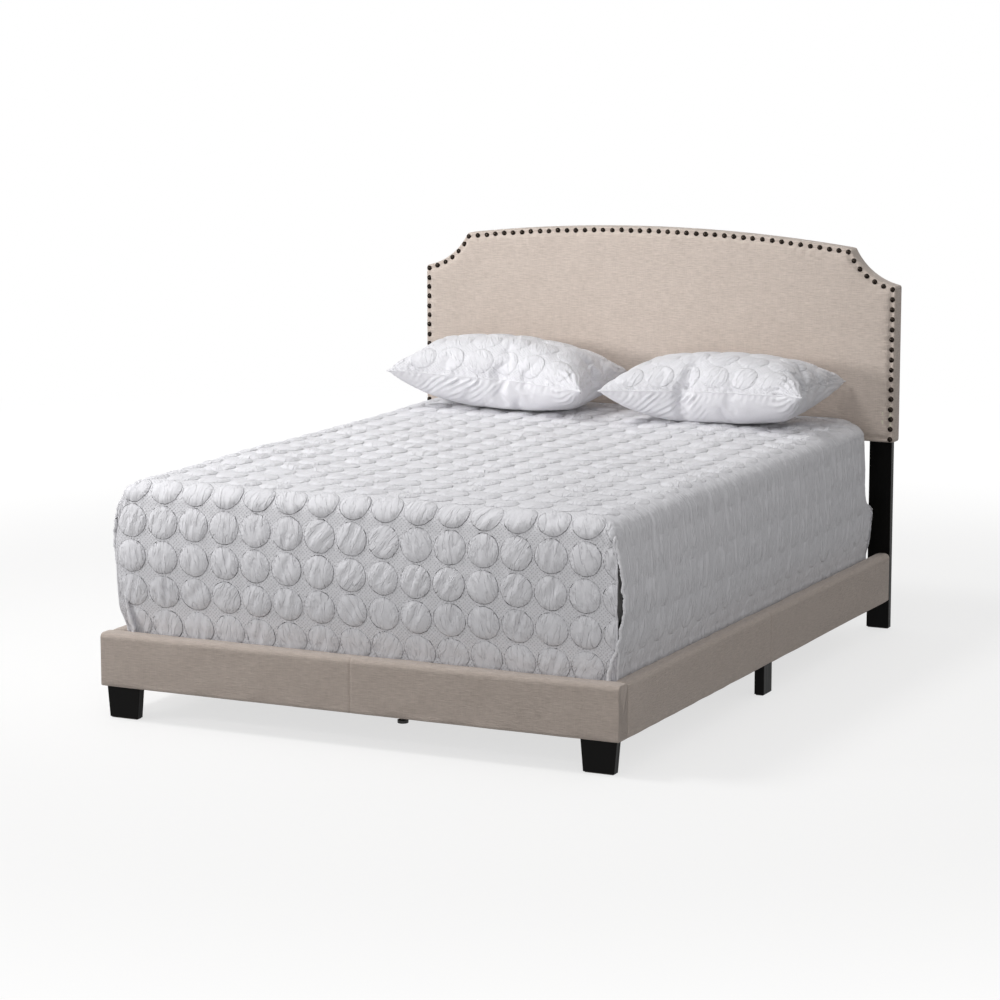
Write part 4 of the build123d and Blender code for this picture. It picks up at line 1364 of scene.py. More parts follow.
    def build(self) -> None:
        """Makes the five padded rails with their seams and stitches."""
        depth = self.foot_back - self.foot_front
        mid_y = (self.foot_front + self.foot_back) / 2
        foot = self.bolster(
            "linen_foot_rail", depth, -self.outer, self.outer, self.along_x(mid_y), 31, (0.0,)
        )
        # Painted shade: the foot rail takes the darker copy of the linen.
        give(
            foot, self.finishes.shaded_rail_linen, "bed_frame", "linen", "foot_rail_cover_left",
            "foot_rail_cover_right",
        )
        stitches = Repeats("rail_stitches", 0.00045, 0.0004, 0.0019, 8, 6)
        line = spaced(
            [
                (0.0078, self.foot_front - 0.0016, self.low + 0.004),
                (0.0078, self.foot_front - 0.0016, self.high - 0.016),
                (0.0078, self.foot_front + 0.016, self.high + 0.0004),
                (0.0078, self.foot_back - 0.016, self.high + 0.0004),
            ],
            0.0052,
        )
        row = stitches.along(
            "foot_rail_stitches", line, turns_along(line, (0, -0.8, 0.6)), self.finishes.thread
        )
        give(row, self.finishes.thread, "bed_frame", "linen")
        for side in Side:
            middle = side.value * (self.inner + self.outer) / 2
            for number, (half, start, end) in enumerate(
                (("front", self.foot_back, self.joint), ("rear", self.joint, self.rear))
            ):
                rail = self.bolster(
                    f"linen_side_rail_{side.word}_{half}", self.outer - self.inner, start, end,
                    self.along_y(middle), 40 + number + side.value,
                )
                # Painted shade: the side rails take the darker copy of the linen.
                give(
                    rail, self.finishes.shaded_rail_linen, "bed_frame", "linen",
                    f"side_rail_cover_{side.word}_{half}",
                )


@dataclass
class Quilt:
    """The quilted cover: circles on a square grid, two side drops and a foot drop."""

    finishes: Finishes
    plan: StitchPlan = StitchPlan()
    steps: int = 14
    crest_x: float = 0.707
    crest_t: float = 0.975
    head: float = 1.000
    top: float = 0.6885
    radius: float = 0.068
    sink: float = 0.0048
    puff: float = 0.0072
    rear_corner: float = 0.078
    split_s: float = 0.7827
    profile: tuple[Array, Array, Array] = field(init=False)

    def __post_init__(self) -> None:
        """Works out the drop's profile by its run: distance out and depth below the top."""
        arc = np.linspace(0, math.pi / 2, 40)
        out, down = list(self.radius * np.sin(arc)), list(self.radius * (1 - np.cos(arc)))
        shoulder = (self.radius, self.radius)
        belly = (self.radius + 0.010, self.top - 0.430)
        tuck = (self.radius - 0.020, self.top - 0.260)
        for k in np.linspace(0, 1, 60)[1:]:
            w = np.array([2 * (k - 0.5) * (k - 1), 4 * k * (1 - k), 2 * k * (k - 0.5)])
            out.append(float(w @ [shoulder[0], belly[0], tuck[0]]))
            down.append(float(w @ [shoulder[1], belly[1], tuck[1]]))
        out.append(tuck[0])
        down.append(self.top - 0.217)
        out, down = np.array(out), np.array(down)
        run = np.concatenate([[0], np.cumsum(np.hypot(np.diff(out), np.diff(down)))])
        self.profile = (run, out, down)
        self.reach = float(run[-1])

    def warp(self) -> tuple[Array, Array, Array, Array, Array]:
        """The flat grid, bent so that its lines follow each circle.

        Returns:
            Across and along coordinates, distance from the cell's centre as a share of the
            circle, and the cell's column and row number for each vertex.
        """
        p, n, circle = self.plan.pitch, self.steps, self.plan.circle
        columns = int(math.ceil((self.crest_x + self.reach) / p)) + 1
        rows_up = int(math.ceil((self.plan.along + self.head) / p))
        rows_down = int(math.ceil((self.crest_t + self.reach - self.plan.along) / p))
        i, j = np.arange(-columns * n, columns * n + 1), np.arange(-rows_up * n, rows_down * n + 1)
        gi, gj = np.meshgrid(i, j, indexing="ij")
        ci, cj = np.floor_divide(gi, n), np.floor_divide(gj, n)
        a, b = 2 * (gi - ci * n) / n - 1, 2 * (gj - cj * n) / n - 1
        m = np.maximum(np.abs(a), np.abs(b))
        safe = np.where(m == 0, 1, m)
        wide = np.abs(a) >= np.abs(b)
        turn = np.where(wide, b, a) / safe * math.pi / 4
        cx = np.where(wide, np.sign(a) * np.cos(turn), np.sin(turn))
        cy = np.where(wide, np.sin(turn), np.sign(b) * np.cos(turn))
        edge = (n / 2 - 1) / (n / 2)
        inner = np.interp(m, np.linspace(0, edge, n // 2), [0, 0.18, 0.36, 0.54, 0.72, 0.88, 1.0])
        out = np.clip((m - edge) / (1 - edge), 0, 1)
        lx = (1 - out) * inner * circle * cx + out * a * p / 2
        ly = (1 - out) * inner * circle * cy + out * b * p / 2
        s = self.plan.across + (ci + 0.5) * p + lx
        t = self.plan.along + (cj + 0.5) * p + ly
        share = np.hypot(lx, ly) / circle
        return s, t, np.where(out >= 1, np.maximum(share, 1.02), share), ci, cj

    def heights(self, s: Array, t: Array, share: Array, ci: Array, cj: Array) -> tuple[Array, Array, Array]:
        """Puffs, folds and gathers above the base surface.

        Args:
            s: Across the bed, in metres of cloth.
            t: Along the bed in metres of cloth, growing towards the foot.
            share: Distance from the cell's centre as a share of the circle.
            ci: Column number of each vertex's circle.
            cj: Row number of each vertex's circle.

        Returns:
            The height of each vertex, and how faint and how slack the pattern is there.
        """
        pick = lambda k: self.dice(k, ci, cj)
        lx, ly = self.plan.from_centre(s, t, ci, cj)
        inside = share <= 1.0001
        r = np.clip(share, 0, 1)
        foot = ease(t, self.crest_t - 0.02, self.crest_t + 0.08)
        side = self.sideways(s, t)
        lean = 1 + 0.32 * (0.5 * lx + 0.86 * ly) / self.plan.circle
        level = (
            self.puff * (0.80 + 0.20 * foot) * (1 - r**4) ** 0.8 * (0.75 + 0.5 * pick(0)) * lean
            * (1 - 0.62 * side)
        )
        c, d = self.fold_frame(s, t, ci, cj)
        fold = np.sin(TAU * (c + 0.003 * np.sin(d / 0.015)) / (0.026 + 0.014 * pick(3)) + TAU * pick(4))
        level = (
            level
            + inside * (0.0009 + 0.0010 * foot) * (0.4 + pick(5)) * (1 - 0.75 * side) * fold * (1 - r**5)
        )
        tilt = 0.5 + 0.9 * (pick(7) - 0.3)
        big = lx * np.cos(tilt) + ly * np.sin(tilt) * 0.6 + 0.012 * (pick(2) - 0.5)
        chance = (pick(6) > 0.66) * foot * (1 - side)
        level = level - chance * inside * 0.0042 * np.exp(-((big / 0.0075) ** 2)) * (1 - r**4)
        level = np.where(inside, level, 0.0007 * np.clip((share - 1) / 0.12, 0, 1) * (1 - 0.6 * side))
        level = level + 0.0004 * Ripples(8, 0.034).at(s, t * 0.8) * (1 - 0.5 * side)
        level = level + 0.0035 * np.clip(Ripples(9, 0.62, 6).at(s, t), -0.8, 2) * (1 - foot) * (1 - side)
        level = level + 0.0018 * foot * Ripples(19, 0.30, 6).at(s, t * 0.5) * (1 - side)
        pleats = np.sin(TAU * (t + 0.004 * np.sin(s / 0.05)) / 0.034 + 4 * Ripples(14, 0.4).at(s * 0.3, t))
        level = level + 0.0011 * side * pleats * (0.6 + 0.4 * Ripples(15, 0.3).at(s, t))
        bunch = ease(np.abs(s), self.crest_x - 0.04, self.crest_x + 0.02) * (1 - side) * (1 - foot)
        level = level + 0.0008 * bunch * Ripples(16, 0.036).at(s * 0.6, t * 1.1)
        corner = (
            ease(np.abs(s), 0.66, 0.75) * ease(t, self.crest_t - 0.01, self.crest_t + 0.05)
            * (1 - ease(t, self.crest_t + 0.11, self.crest_t + 0.20))
        )
        gather = np.sin(TAU * (s + 0.30 * (t - self.crest_t)) / 0.026)
        level = level + 0.0024 * corner * gather * (np.abs(s) < self.split_s + 0.001)
        low = ease(np.abs(s), self.crest_x + 0.26, self.crest_x + 0.44)
        faint = side * (0.86 - 0.30 * low)
        slack = np.clip(0.72 + 0.28 * foot + 0.28 * bunch, 0, 1) * (1 - side) + side
        return level, faint, slack

    def sideways(self, s: Array, t: Array) -> Array:
        """How far the cloth has turned into a plain side drop, from 0 to 1."""
        foot = ease(t, self.crest_t + 0.02, self.crest_t + 0.07)
        return ease(np.abs(s), 0.662, 0.778) * (1 - foot) + ease(np.abs(s), 0.772, 0.800) * foot

    def fold_frame(self, s: Array, t: Array, ci: Array, cj: Array) -> tuple[Array, Array]:
        """Coordinates across and along the small folds of each circle, in metres.

        Args:
            s: Across the bed, in metres of cloth.
            t: Along the bed in metres of cloth, growing towards the foot.
            ci: Column number of each vertex's circle.
            cj: Row number of each vertex's circle.

        Returns:
            Coordinates across and along the folds.
        """
        lx, ly = self.plan.from_centre(s, t, ci, cj)
        angle = (self.dice(1, ci, cj) - 0.5) * 1.1 + 0.10
        return lx * np.cos(angle) + ly * np.sin(angle), ly * np.cos(angle) - lx * np.sin(angle)

    @staticmethod
    def dice(k: int, ci: Array, cj: Array) -> Array:
        """The k-th fixed random number of each circle."""
        return np.random.default_rng(12 + k).uniform(size=(80, 80))[(ci + 40) % 80, (cj + 40) % 80]

    def place(self, s: Array, t: Array, drop: bool) -> Array:
        """Base points of the cloth, before its puffs.

        Args:
            s: Across the bed.
            t: Along the bed, growing towards the foot.
            drop: Whether these points belong to a side drop.

        Returns:
            World points.
        """
        run, out, down = self.profile
        a, b = np.clip(np.abs(s) - self.crest_x, 0, None), np.clip(t - self.crest_t, 0, None)
        xa, za = np.interp(a, run, out), np.interp(a, run, down)
        yb, zb = np.interp(b, run, out), np.interp(b, run, down)
        sign = np.sign(s)
        past = np.clip(-t - (self.head - self.rear_corner), 0, self.rear_corner)
        cut = self.rear_corner - np.sqrt(self.rear_corner**2 - past**2)
        cut = cut * ease(np.abs(s), 0.40, self.crest_x) * (1 - ease(za, 0.23, 0.29))
        if drop:
            split_drop = float(np.interp(self.split_s - self.crest_x, run, down))
            w = ease(za, split_drop, split_drop + 0.10)
            front = (
                np.exp(-((self.crest_t + self.radius - t) / 0.11))
                * ease(za, split_drop, split_drop + 0.06)
            )
            flare = 0.017 * np.exp(-(((za - 0.235) / 0.14) ** 2)) * front
            left = sign < 0
            flare = np.where(
                left,
                front * (0.004 * np.exp(-(((za - 0.13) / 0.06) ** 2)) - 0.020 * ease(za, 0.22, 0.34)),
                flare,
            )
            rear = ease(-t, 0.25, 0.90)
            xa = xa + flare - rear * np.clip(xa - 0.058, 0, None) * 0.50
            xa = np.where(za > self.top - 0.268, np.minimum(xa, self.radius - 0.018), xa)
            yb = (1 - w) * yb + w * b
            z = self.top - np.sqrt(za**2 + (zb * (1 - w)) ** 2)
        else:
            z = self.top - np.sqrt(za**2 + zb**2)
            z = np.where(zb > 0.12, self.top - zb - (np.sqrt(za**2 + 0.12**2) - 0.12), z)
            recede = 0.005 * ease(a, 0.0, 0.075) * ease(zb, 0.04, 0.14)
            lean = (
                Ripples(18, 0.5, 5).at(s, t * 0.6) * 0.003 * ease(zb, 0.05, 0.2)
                * (1 - ease(zb, 0.36, 0.42))
            )
            yb = yb - recede + lean
            xa = xa + 0.010 * ease(a, 0.025, 0.075) * ease(zb, 0.05, 0.13) * (1 - ease(zb, 0.36, 0.44))
        x = sign * (np.minimum(np.abs(s), self.crest_x) + xa - cut)
        y = -(np.minimum(t, self.crest_t) + yb)
        return np.stack([x, y, z], -1)

    def build(self) -> None:
        """Makes the top with the foot drop, both side drops and their bound edges."""
        s, t, share, ci, cj = self.warp()
        end_t, end_s = self.crest_t + self.reach, self.crest_x + self.reach
        t, s = np.clip(t, -self.head, end_t), np.clip(s, -end_s, end_s)
        pitch = self.plan.pitch
        base_t = self.plan.along + (np.arange(s.shape[1]) - np.argmax(cj[0] >= 0)) * pitch / self.steps
        base_s = self.plan.across + (np.arange(s.shape[0]) - np.argmax(ci[:, 0] >= 0)) * pitch / self.steps
        left, right = (int(np.argmin(np.abs(base_s - v * self.split_s))) for v in (-1, 1))
        edge = self.crest_t + self.radius
        front = int(np.argmin(np.abs(base_t - edge)))
        for column, value in ((left, -self.split_s), (right, self.split_s)):
            s[column], t[column] = value, np.clip(base_t, -self.head, end_t)
        outer = np.zeros(s.shape, bool)
        outer[: left + 1] = outer[right:] = True
        t[:, front] = np.where(outer[:, front], edge, t[:, front])
        t = np.where(outer & (np.arange(s.shape[1])[None, :] < front) & (t > edge - 0.001), edge - 0.001, t)
        lx, ly = self.plan.local(s, t)
        moved = np.hypot(lx, ly) / self.plan.circle
        share = np.where(np.abs(moved - share) > 0.05, moved, share)
        level, faint, slack = self.heights(s, t, share, ci, cj)
        hem = ease(
            np.minimum(self.crest_t + self.reach - t, self.crest_x + self.reach - np.abs(s)), 0.0, 0.02
        )
        level = level * (0.3 + 0.7 * hem)
        middle = self.raise_grid(self.place(s, t, False), level)
        sides = self.raise_grid(self.place(s, t, True), level)
        for column in (left, right):
            sides[column, : front + 1] = middle[column, : front + 1]
        whole = middle.copy()
        for outside in (np.s_[:left, : front + 1], np.s_[right + 1 :, : front + 1]):
            whole[outside] = sides[outside]
        made = {
            "cloth": np.stack([s, t], -1),
            "cell": np.stack([ci, cj], -1),
            "faint": faint,
            "slack": slack,
            "normal": self.upward(whole),
        }
        self.panel("quilt_top_and_foot_drop", np.s_[left : right + 1, :], middle, made, ("quilt",))
        self.panel("quilt_left_drop", np.s_[: left + 1, : front + 1], sides, made, ())
        self.panel("quilt_right_drop", np.s_[right:, : front + 1], sides, made, ())
        self.bindings(sides, middle, left, right, front)

    @staticmethod
    def crimp(run: Array, angle: Array) -> Array:
        """Puckers of a bound edge, by its run and the angle round it."""
        pucker = 0.0007 * np.sin(run / 0.0021 + 2 * np.sin(run / 0.015))
        return pucker * (1 + 0.4 * np.sin(angle + run / 0.01))

    @staticmethod
    def raise_grid(base: Array, level: Array) -> Array:
        """Lifts a grid of base points along its upward normals."""
        return base + Quilt.upward(base) * (level - Quilt.sink)[..., None]

    @staticmethod
    def upward(grid: Array) -> Array:
        """Normals of a grid, upwards on the bed's top and outwards on its drops.

        Args:
            grid: The grid's points.

        Returns:
            A unit normal for each point.
        """
        normal = np.cross(np.gradient(grid, axis=0), np.gradient(grid, axis=1))
        size = np.linalg.norm(normal, axis=-1, keepdims=True)
        normal = normal / np.where(size < 1e-12, 1, size)
        return -normal if normal[grid.shape[0] // 2, grid.shape[1] // 3, 2] < 0 else normal

    def panel(
        self,
        name: str,
        cut: tuple[slice, slice],
        points: Array,
        made: dict[str, Array],
        nodes: tuple[str, ...],
    ) -> None:
        """Args:
            name: The panel's name.
            cut: Which part of the grid it takes.
            points: The grid's world points.
            made: Cloth coordinates, cells, marks and normals of the grid.
            nodes: The CAD nodes that it stands for.
        """
        grid = points[cut]
        wide, deep = grid.shape[:2]
        flat = grid.reshape(-1, 3)
        quads = np.array(lattice(wide, deep))
        a, b, c, d = (flat[quads[:, k]] for k in range(4))
        facing, normals = np.cross(c - a, d - b), made["normal"][cut].reshape(-1, 3)
        if (facing * normals[quads[:, 0]]).sum() < 0:
            quads = quads[:, ::-1]
        cloth, cell = (made[key][cut].reshape(-1, 2) for key in ("cloth", "cell"))
        ci, cj = (cell[quads.min(1), k][:, None] for k in range(2))
        s, t = cloth[quads, 0], cloth[quads, 1]
        c, d = self.fold_frame(s, t, ci, cj)
        plain = self.sideways(s, t).mean(1, keepdims=True) > 0.5
        folds = np.stack(
            [
                np.where(plain, t, c + self.dice(2, ci, cj) * 5),
                np.where(plain, s * 0.7, d + self.dice(3, ci, cj) * 5),
            ],
            -1,
        )
        _, first, number = np.unique(np.round(flat, 5), axis=0, return_index=True, return_inverse=True)
        quads = first[number.ravel()][quads]
        kept = quads != np.roll(quads, 1, 1)
        faces = [quad[keep] for quad, keep in zip(quads, kept) if keep.sum() > 2]
        folds = np.concatenate([fold[keep] for fold, keep in zip(folds, kept) if keep.sum() > 2])
        used = np.unique(np.concatenate(faces))
        faces = [np.searchsorted(used, face) for face in faces]
        marks = {key: made[key][cut].ravel()[used] for key in ("faint", "slack")}
        panel = make_piece(name, flat[used], faces, cloth[used], marks, folds, normals[used])
        give(panel, self.finishes.quilt, "mattress", "quilt_cotton", *nodes)

    def bindings(self, sides: Array, middle: Array, left: int, right: int, front: int) -> None:
        """The puckered bound edges at the foot corners.

        Args:
            sides: Points of the side drops' grid.
            middle: Points of the middle panel's grid.
            left: Column of the left split.
            right: Column of the right split.
            front: Row where the side drops end.
        """
        edges = []
        for name, columns in (("left", slice(left, None, -1)), ("right", slice(right, None))):
            line = sides[columns, front]
            keep = np.concatenate([[True], np.linalg.norm(np.diff(line, axis=0), axis=1) > 1e-4])
            line = spaced(line[keep], 0.004)
            rng = np.random.default_rng(6)
            beat = rng.uniform(0, TAU, 4)
            line = line + np.stack(
                [
                    0.0012 * np.sin(line[:, 2] / 0.006 + beat[0]),
                    np.full(len(line), -0.0008) + 0.001 * np.sin(line[:, 2] / 0.0085 + beat[1]),
                    np.zeros(len(line)),
                ],
                1,
            )
            taper = lambda run: 0.0042 * np.clip(run / 0.02, 0.35, 1)
            edges.append(roll(f"quilt_edge_{name}", line, taper, 12, self.crimp))
        both = join_pieces("quilt_bound_edges", edges)
        give(both, self.finishes.plain_cotton, "mattress", "bound_edge", "quilt_corner_bindings")
        inner = []
        for column in (left, right):
            line = middle[column, front:]
            keep = np.concatenate([[True], np.linalg.norm(np.diff(line, axis=0), axis=1) > 1e-4])
            line = spaced(line[keep], 0.006)
            line[:, 1] += 0.003
            inner.append(roll("edge", line, 0.0034, 10))
        folded = join_pieces("quilt_foot_drop_edges", inner)
        give(folded, self.finishes.plain_cotton, "mattress", "quilt_cotton")


@dataclass
class Pillow:
    """One pillow: two flat panels sewn together, then blown up as cloth and laid on the quilt."""

    finishes: Finishes
    side: Side
    x: float
    seam: float
    crown: float
    belly: float
    tilt: float
    turn: float
    seed: int
    shift: float
    y: float = 0.7695
    width: float = 0.690
    length: float = 0.445
    cut_width: float = 0.735
    cut_length: float = 0.480
    rest: float = 0.6905
    across: int = 62
    along: int = 42
    frames: int = 34
    plan: StitchPlan = StitchPlan()

    def panels(self) -> Object:
        """The two flat panels, sewn all round, with their cloth coordinates.

        Returns:
            The sewn sham, still flat.
        """
        u, v = np.meshgrid(
            np.linspace(-1, 1, self.across + 1), np.linspace(-1, 1, self.along + 1), indexing="ij"
        )
        rng = np.random.default_rng(self.seed)
        inner = (np.abs(u) < 1 - 1e-9) & (np.abs(v) < 1 - 1e-9)
        shake = rng.normal(0, 0.0004, (2, *u.shape)) * inner
        flat = [
            np.stack(
                [
                    u * self.cut_width / 2,
                    v * self.cut_length / 2,
                    sign * 0.004 * (1 - u**2) * (1 - v**2) + shake[k],
                ],
                -1,
            )
            for k, sign in enumerate((1, -1))
        ]
        count = u.size
        upper = np.arange(count).reshape(u.shape)
        lower = upper.copy()
        lower[inner] = count + np.arange(inner.sum())
        quads = np.array(lattice(*u.shape))
        faces = np.concatenate([upper.ravel()[quads][:, ::-1], lower.ravel()[quads]])
        points = np.concatenate([flat[0].reshape(-1, 3), flat[1][inner]])
        plane = np.concatenate([flat[0].reshape(-1, 3)[:, :2], flat[1][inner][:, :2]])
        centred = plane + [self.plan.across + self.shift, self.plan.along + 0.024]
        bias = 0.45 * (1 if self.side is Side.LEFT else -1)
        turned = np.stack([plane[:, 0] + bias * plane[:, 1], plane[:, 1] - bias * plane[:, 0]], 1)
        edge = np.concatenate([np.where(inner, 0.0, 1.0).ravel(), np.zeros(inner.sum())])
        sham = make_piece(
            f"pillow_{self.side.word}",
            points,
            faces,
            centred,
            {"faint": np.full(len(points), 0.42), "slack": np.full(len(points), 0.8), "edge": edge},
            turned,
        )
        sham.data.materials.append(self.finishes.quilt)
        sham.data.materials.append(self.finishes.plain_cotton)
        sham.data.polygons.foreach_set("material_index", [k // len(quads) for k in range(2 * len(quads))])
        crease = sham.data.attributes.new("crease_edge", "FLOAT", "EDGE")
        both = edge[read(sham.data.edges, "vertices", 2, np.int32)].min(1)
        crease.data.foreach_set("value", both * 0.9)
        return sham

    def blow_up(self, sham: Object) -> None:
        """Fills the sewn panels with air by a short cloth simulation, kept in the mesh.

        Args:
            sham: The pillow's mesh object.
        """
        modifier = sham.modifiers.new("filling", "CLOTH")
        cloth = modifier.settings
        cloth.quality, cloth.mass, cloth.air_damping = 5, 0.2, 4.0
        cloth.tension_stiffness = cloth.compression_stiffness = 30
        cloth.shear_stiffness, cloth.bending_stiffness = 10, 0.4
        cloth.tension_damping = cloth.compression_damping = cloth.shear_damping = 12
        cloth.use_pressure, cloth.uniform_pressure_force = True, 9.0
        cloth.effector_weights.gravity = 0
        modifier.collision_settings.use_collision = False
        modifier.point_cache.frame_start, modifier.point_cache.frame_end = 1, self.frames
        scene = bpy.context.scene
        for number in range(1, self.frames + 1):
            scene.frame_set(number)
        filled = finished_mesh(sham)
        sham.modifiers.clear()
        sham.data = filled
        scene.frame_set(1)

    def lay(self, points: Array) -> Array:
        """Scales the filled sham to its size, turns it and settles it on the quilt.

        Args:
            points: The pillow's points round its own centre.

        Returns:
            The points in the room.
        """
        low, high = points.min(0), points.max(0)
        size = (high - low)[:2]
        x = (points[:, 0] - (low[0] + high[0]) / 2) * self.width / size[0]
        y = (points[:, 1] - (low[1] + high[1]) / 2) * self.length / size[1]
        z = np.where(
            points[:, 2] > 0, points[:, 2] * self.crown / high[2], points[:, 2] * self.belly / -low[2]
        )
        a, b = math.radians(self.tilt), math.radians(self.turn)
        px, pz = x * math.cos(a) + z * math.sin(a), z * math.cos(a) - x * math.sin(a)
        wx, wy = px * math.cos(b) - y * math.sin(b), px * math.sin(b) + y * math.cos(b)
        wz = self.seam + pz
        soft = 0.014
        spill = np.clip(self.rest - wz, 0, 0.06)
        gap = np.minimum(wz - self.rest, soft)
        wz = np.where(wz < self.rest + soft, self.rest + soft * np.exp((gap - soft) / soft), wz)
        return np.stack(
            [self.x + wx + spill * 0.12 * x / self.width, self.y + wy + spill * 0.12 * y / self.length, wz],
            1,
        )

    def quilting(self, sham: Object) -> None:
        """Smooths the filled sham and raises its quilted circles.

        Args:
            sham: The pillow's mesh object.
        """
        smooth = sham.modifiers.new("smooth", "SUBSURF")
        smooth.levels = smooth.render_levels = 2
        fine = finished_mesh(sham)
        sham.modifiers.clear()
        sham.data = fine
        points, normals = read(fine.vertices, "co", 3), read(fine.vertices, "normal", 3)
        corners = read(fine.loops, "vertex_index", kind=np.int32)
        kind = read(fine.polygons, "material_index", kind=np.int32)
        sizes = read(fine.polygons, "loop_total", kind=np.int32)
        flat, quilted = np.zeros((len(points), 2)), np.zeros(len(points))
        flat[corners] = read(fine.uv_layers["cloth"].data, "uv", 2, np.float32)
        quilted[corners] = 1 - np.repeat(kind, sizes)
        lx, ly = self.plan.local(flat[:, 0], flat[:, 1])
        share = np.hypot(lx, ly) / self.plan.circle
        middle = (flat.min(0) + flat.max(0)) / 2
        inset = np.minimum(
            self.cut_width / 2 - np.abs(flat[:, 0] - middle[0]),
            self.cut_length / 2 - np.abs(flat[:, 1] - middle[1]),
        )
        grip = ease(inset, 0.004, 0.035) * quilted
        dome = 0.0038 * np.clip(1 - share**4, 0, 1) ** 0.8 + 0.0003 * np.clip((share - 1) / 0.12, 0, 1)
        x, y = flat[:, 0] - middle[0], flat[:, 1] - middle[1]
        gathers = (
            0.0012 * np.sin((x + 0.4 * y) / 0.0035) * np.exp(-((inset / 0.022) ** 2))
            * ease(inset, 0.001, 0.008)
        )
        from_end, from_side = self.cut_width / 2 - np.abs(x), self.cut_length / 2 - np.abs(y)
        reach, turn = np.hypot(from_end, from_side), np.arctan2(from_side, from_end)
        pleats = (
            0.0020 * np.sin(turn * 26 + 2 * np.sin(reach / 0.02))
            * np.exp(-(((reach - 0.085) / 0.045) ** 2)) * (0.6 + 0.4 * np.sign(x))
        )
        drawn = (
            np.sin(TAU * (x + 1.1 * inset + 0.012 * np.sin(x / 0.04)) / 0.030)
            * np.exp(-((x + 0.13) / 0.13) ** 4) * np.exp(-((inset / 0.085) ** 2))
            * ease(inset, 0.002, 0.02)
        )
        pulls = 0.0031 * drawn * (1 - quilted) * (y < 0) * (1 + 0.5 * Ripples(self.seed, 0.07).at(x, y))
        points += normals * (dome * grip + gathers + pleats + pulls)[:, None]
        fine.vertices.foreach_set("co", points.ravel())
        fine.update()

    def welt(self, sham: Object) -> Object:
        """The sewn edge, a thin roll along the seam.

        Args:
            sham: The pillow's mesh object.

        Returns:
            The sewn edge.
        """
        mesh = sham.data
        edge = read(mesh.attributes["edge"].data, "value", kind=np.float32)
        rim = read(mesh.vertices, "co", 3)[edge > 0.999]
        turn = math.radians(self.turn)
        dx, dy = rim[:, 0] - self.x, rim[:, 1] - self.y
        u = (dx * math.cos(turn) + dy * math.sin(turn)) / self.width * 2
        v = (dy * math.cos(turn) - dx * math.sin(turn)) / self.length * 2
        order = np.where(np.abs(u) > np.abs(v), np.where(u > 0, v, 4 - v), np.where(v > 0, 2 - u, 6 + u))
        ring = rim[np.argsort(order)]
        ring = np.concatenate([ring, ring[:1]])
        for _ in range(2):
            ring[1:-1] = (ring[:-2] + 2 * ring[1:-1] + ring[2:]) / 4
        welt = roll("welt", spaced(ring, 0.006), 0.0018, 8)
        welt.data.materials.append(self.finishes.plain_cotton)
        return welt

    def build(self) -> None:
        """Sews, fills, lays and quilts the pillow."""
        sham = self.panels()
        self.blow_up(sham)
        sham.data.vertices.foreach_set("co", self.lay(read(sham.data.vertices, "co", 3)).ravel())
        sham.data.update()
        self.quilting(sham)
        welt = self.welt(sham)
        for key in [a.name for a in sham.data.attributes if a.name in ("edge", "crease_edge")]:
            sham.data.attributes.remove(sham.data.attributes[key])
        word = self.side.word
        sham = join_pieces(f"pillow_{word}", [sham, welt])
        declare(sham, f"pillow_{word}", "sham_cotton", f"pillow_sham_{word}", f"pillow_insert_{word}")


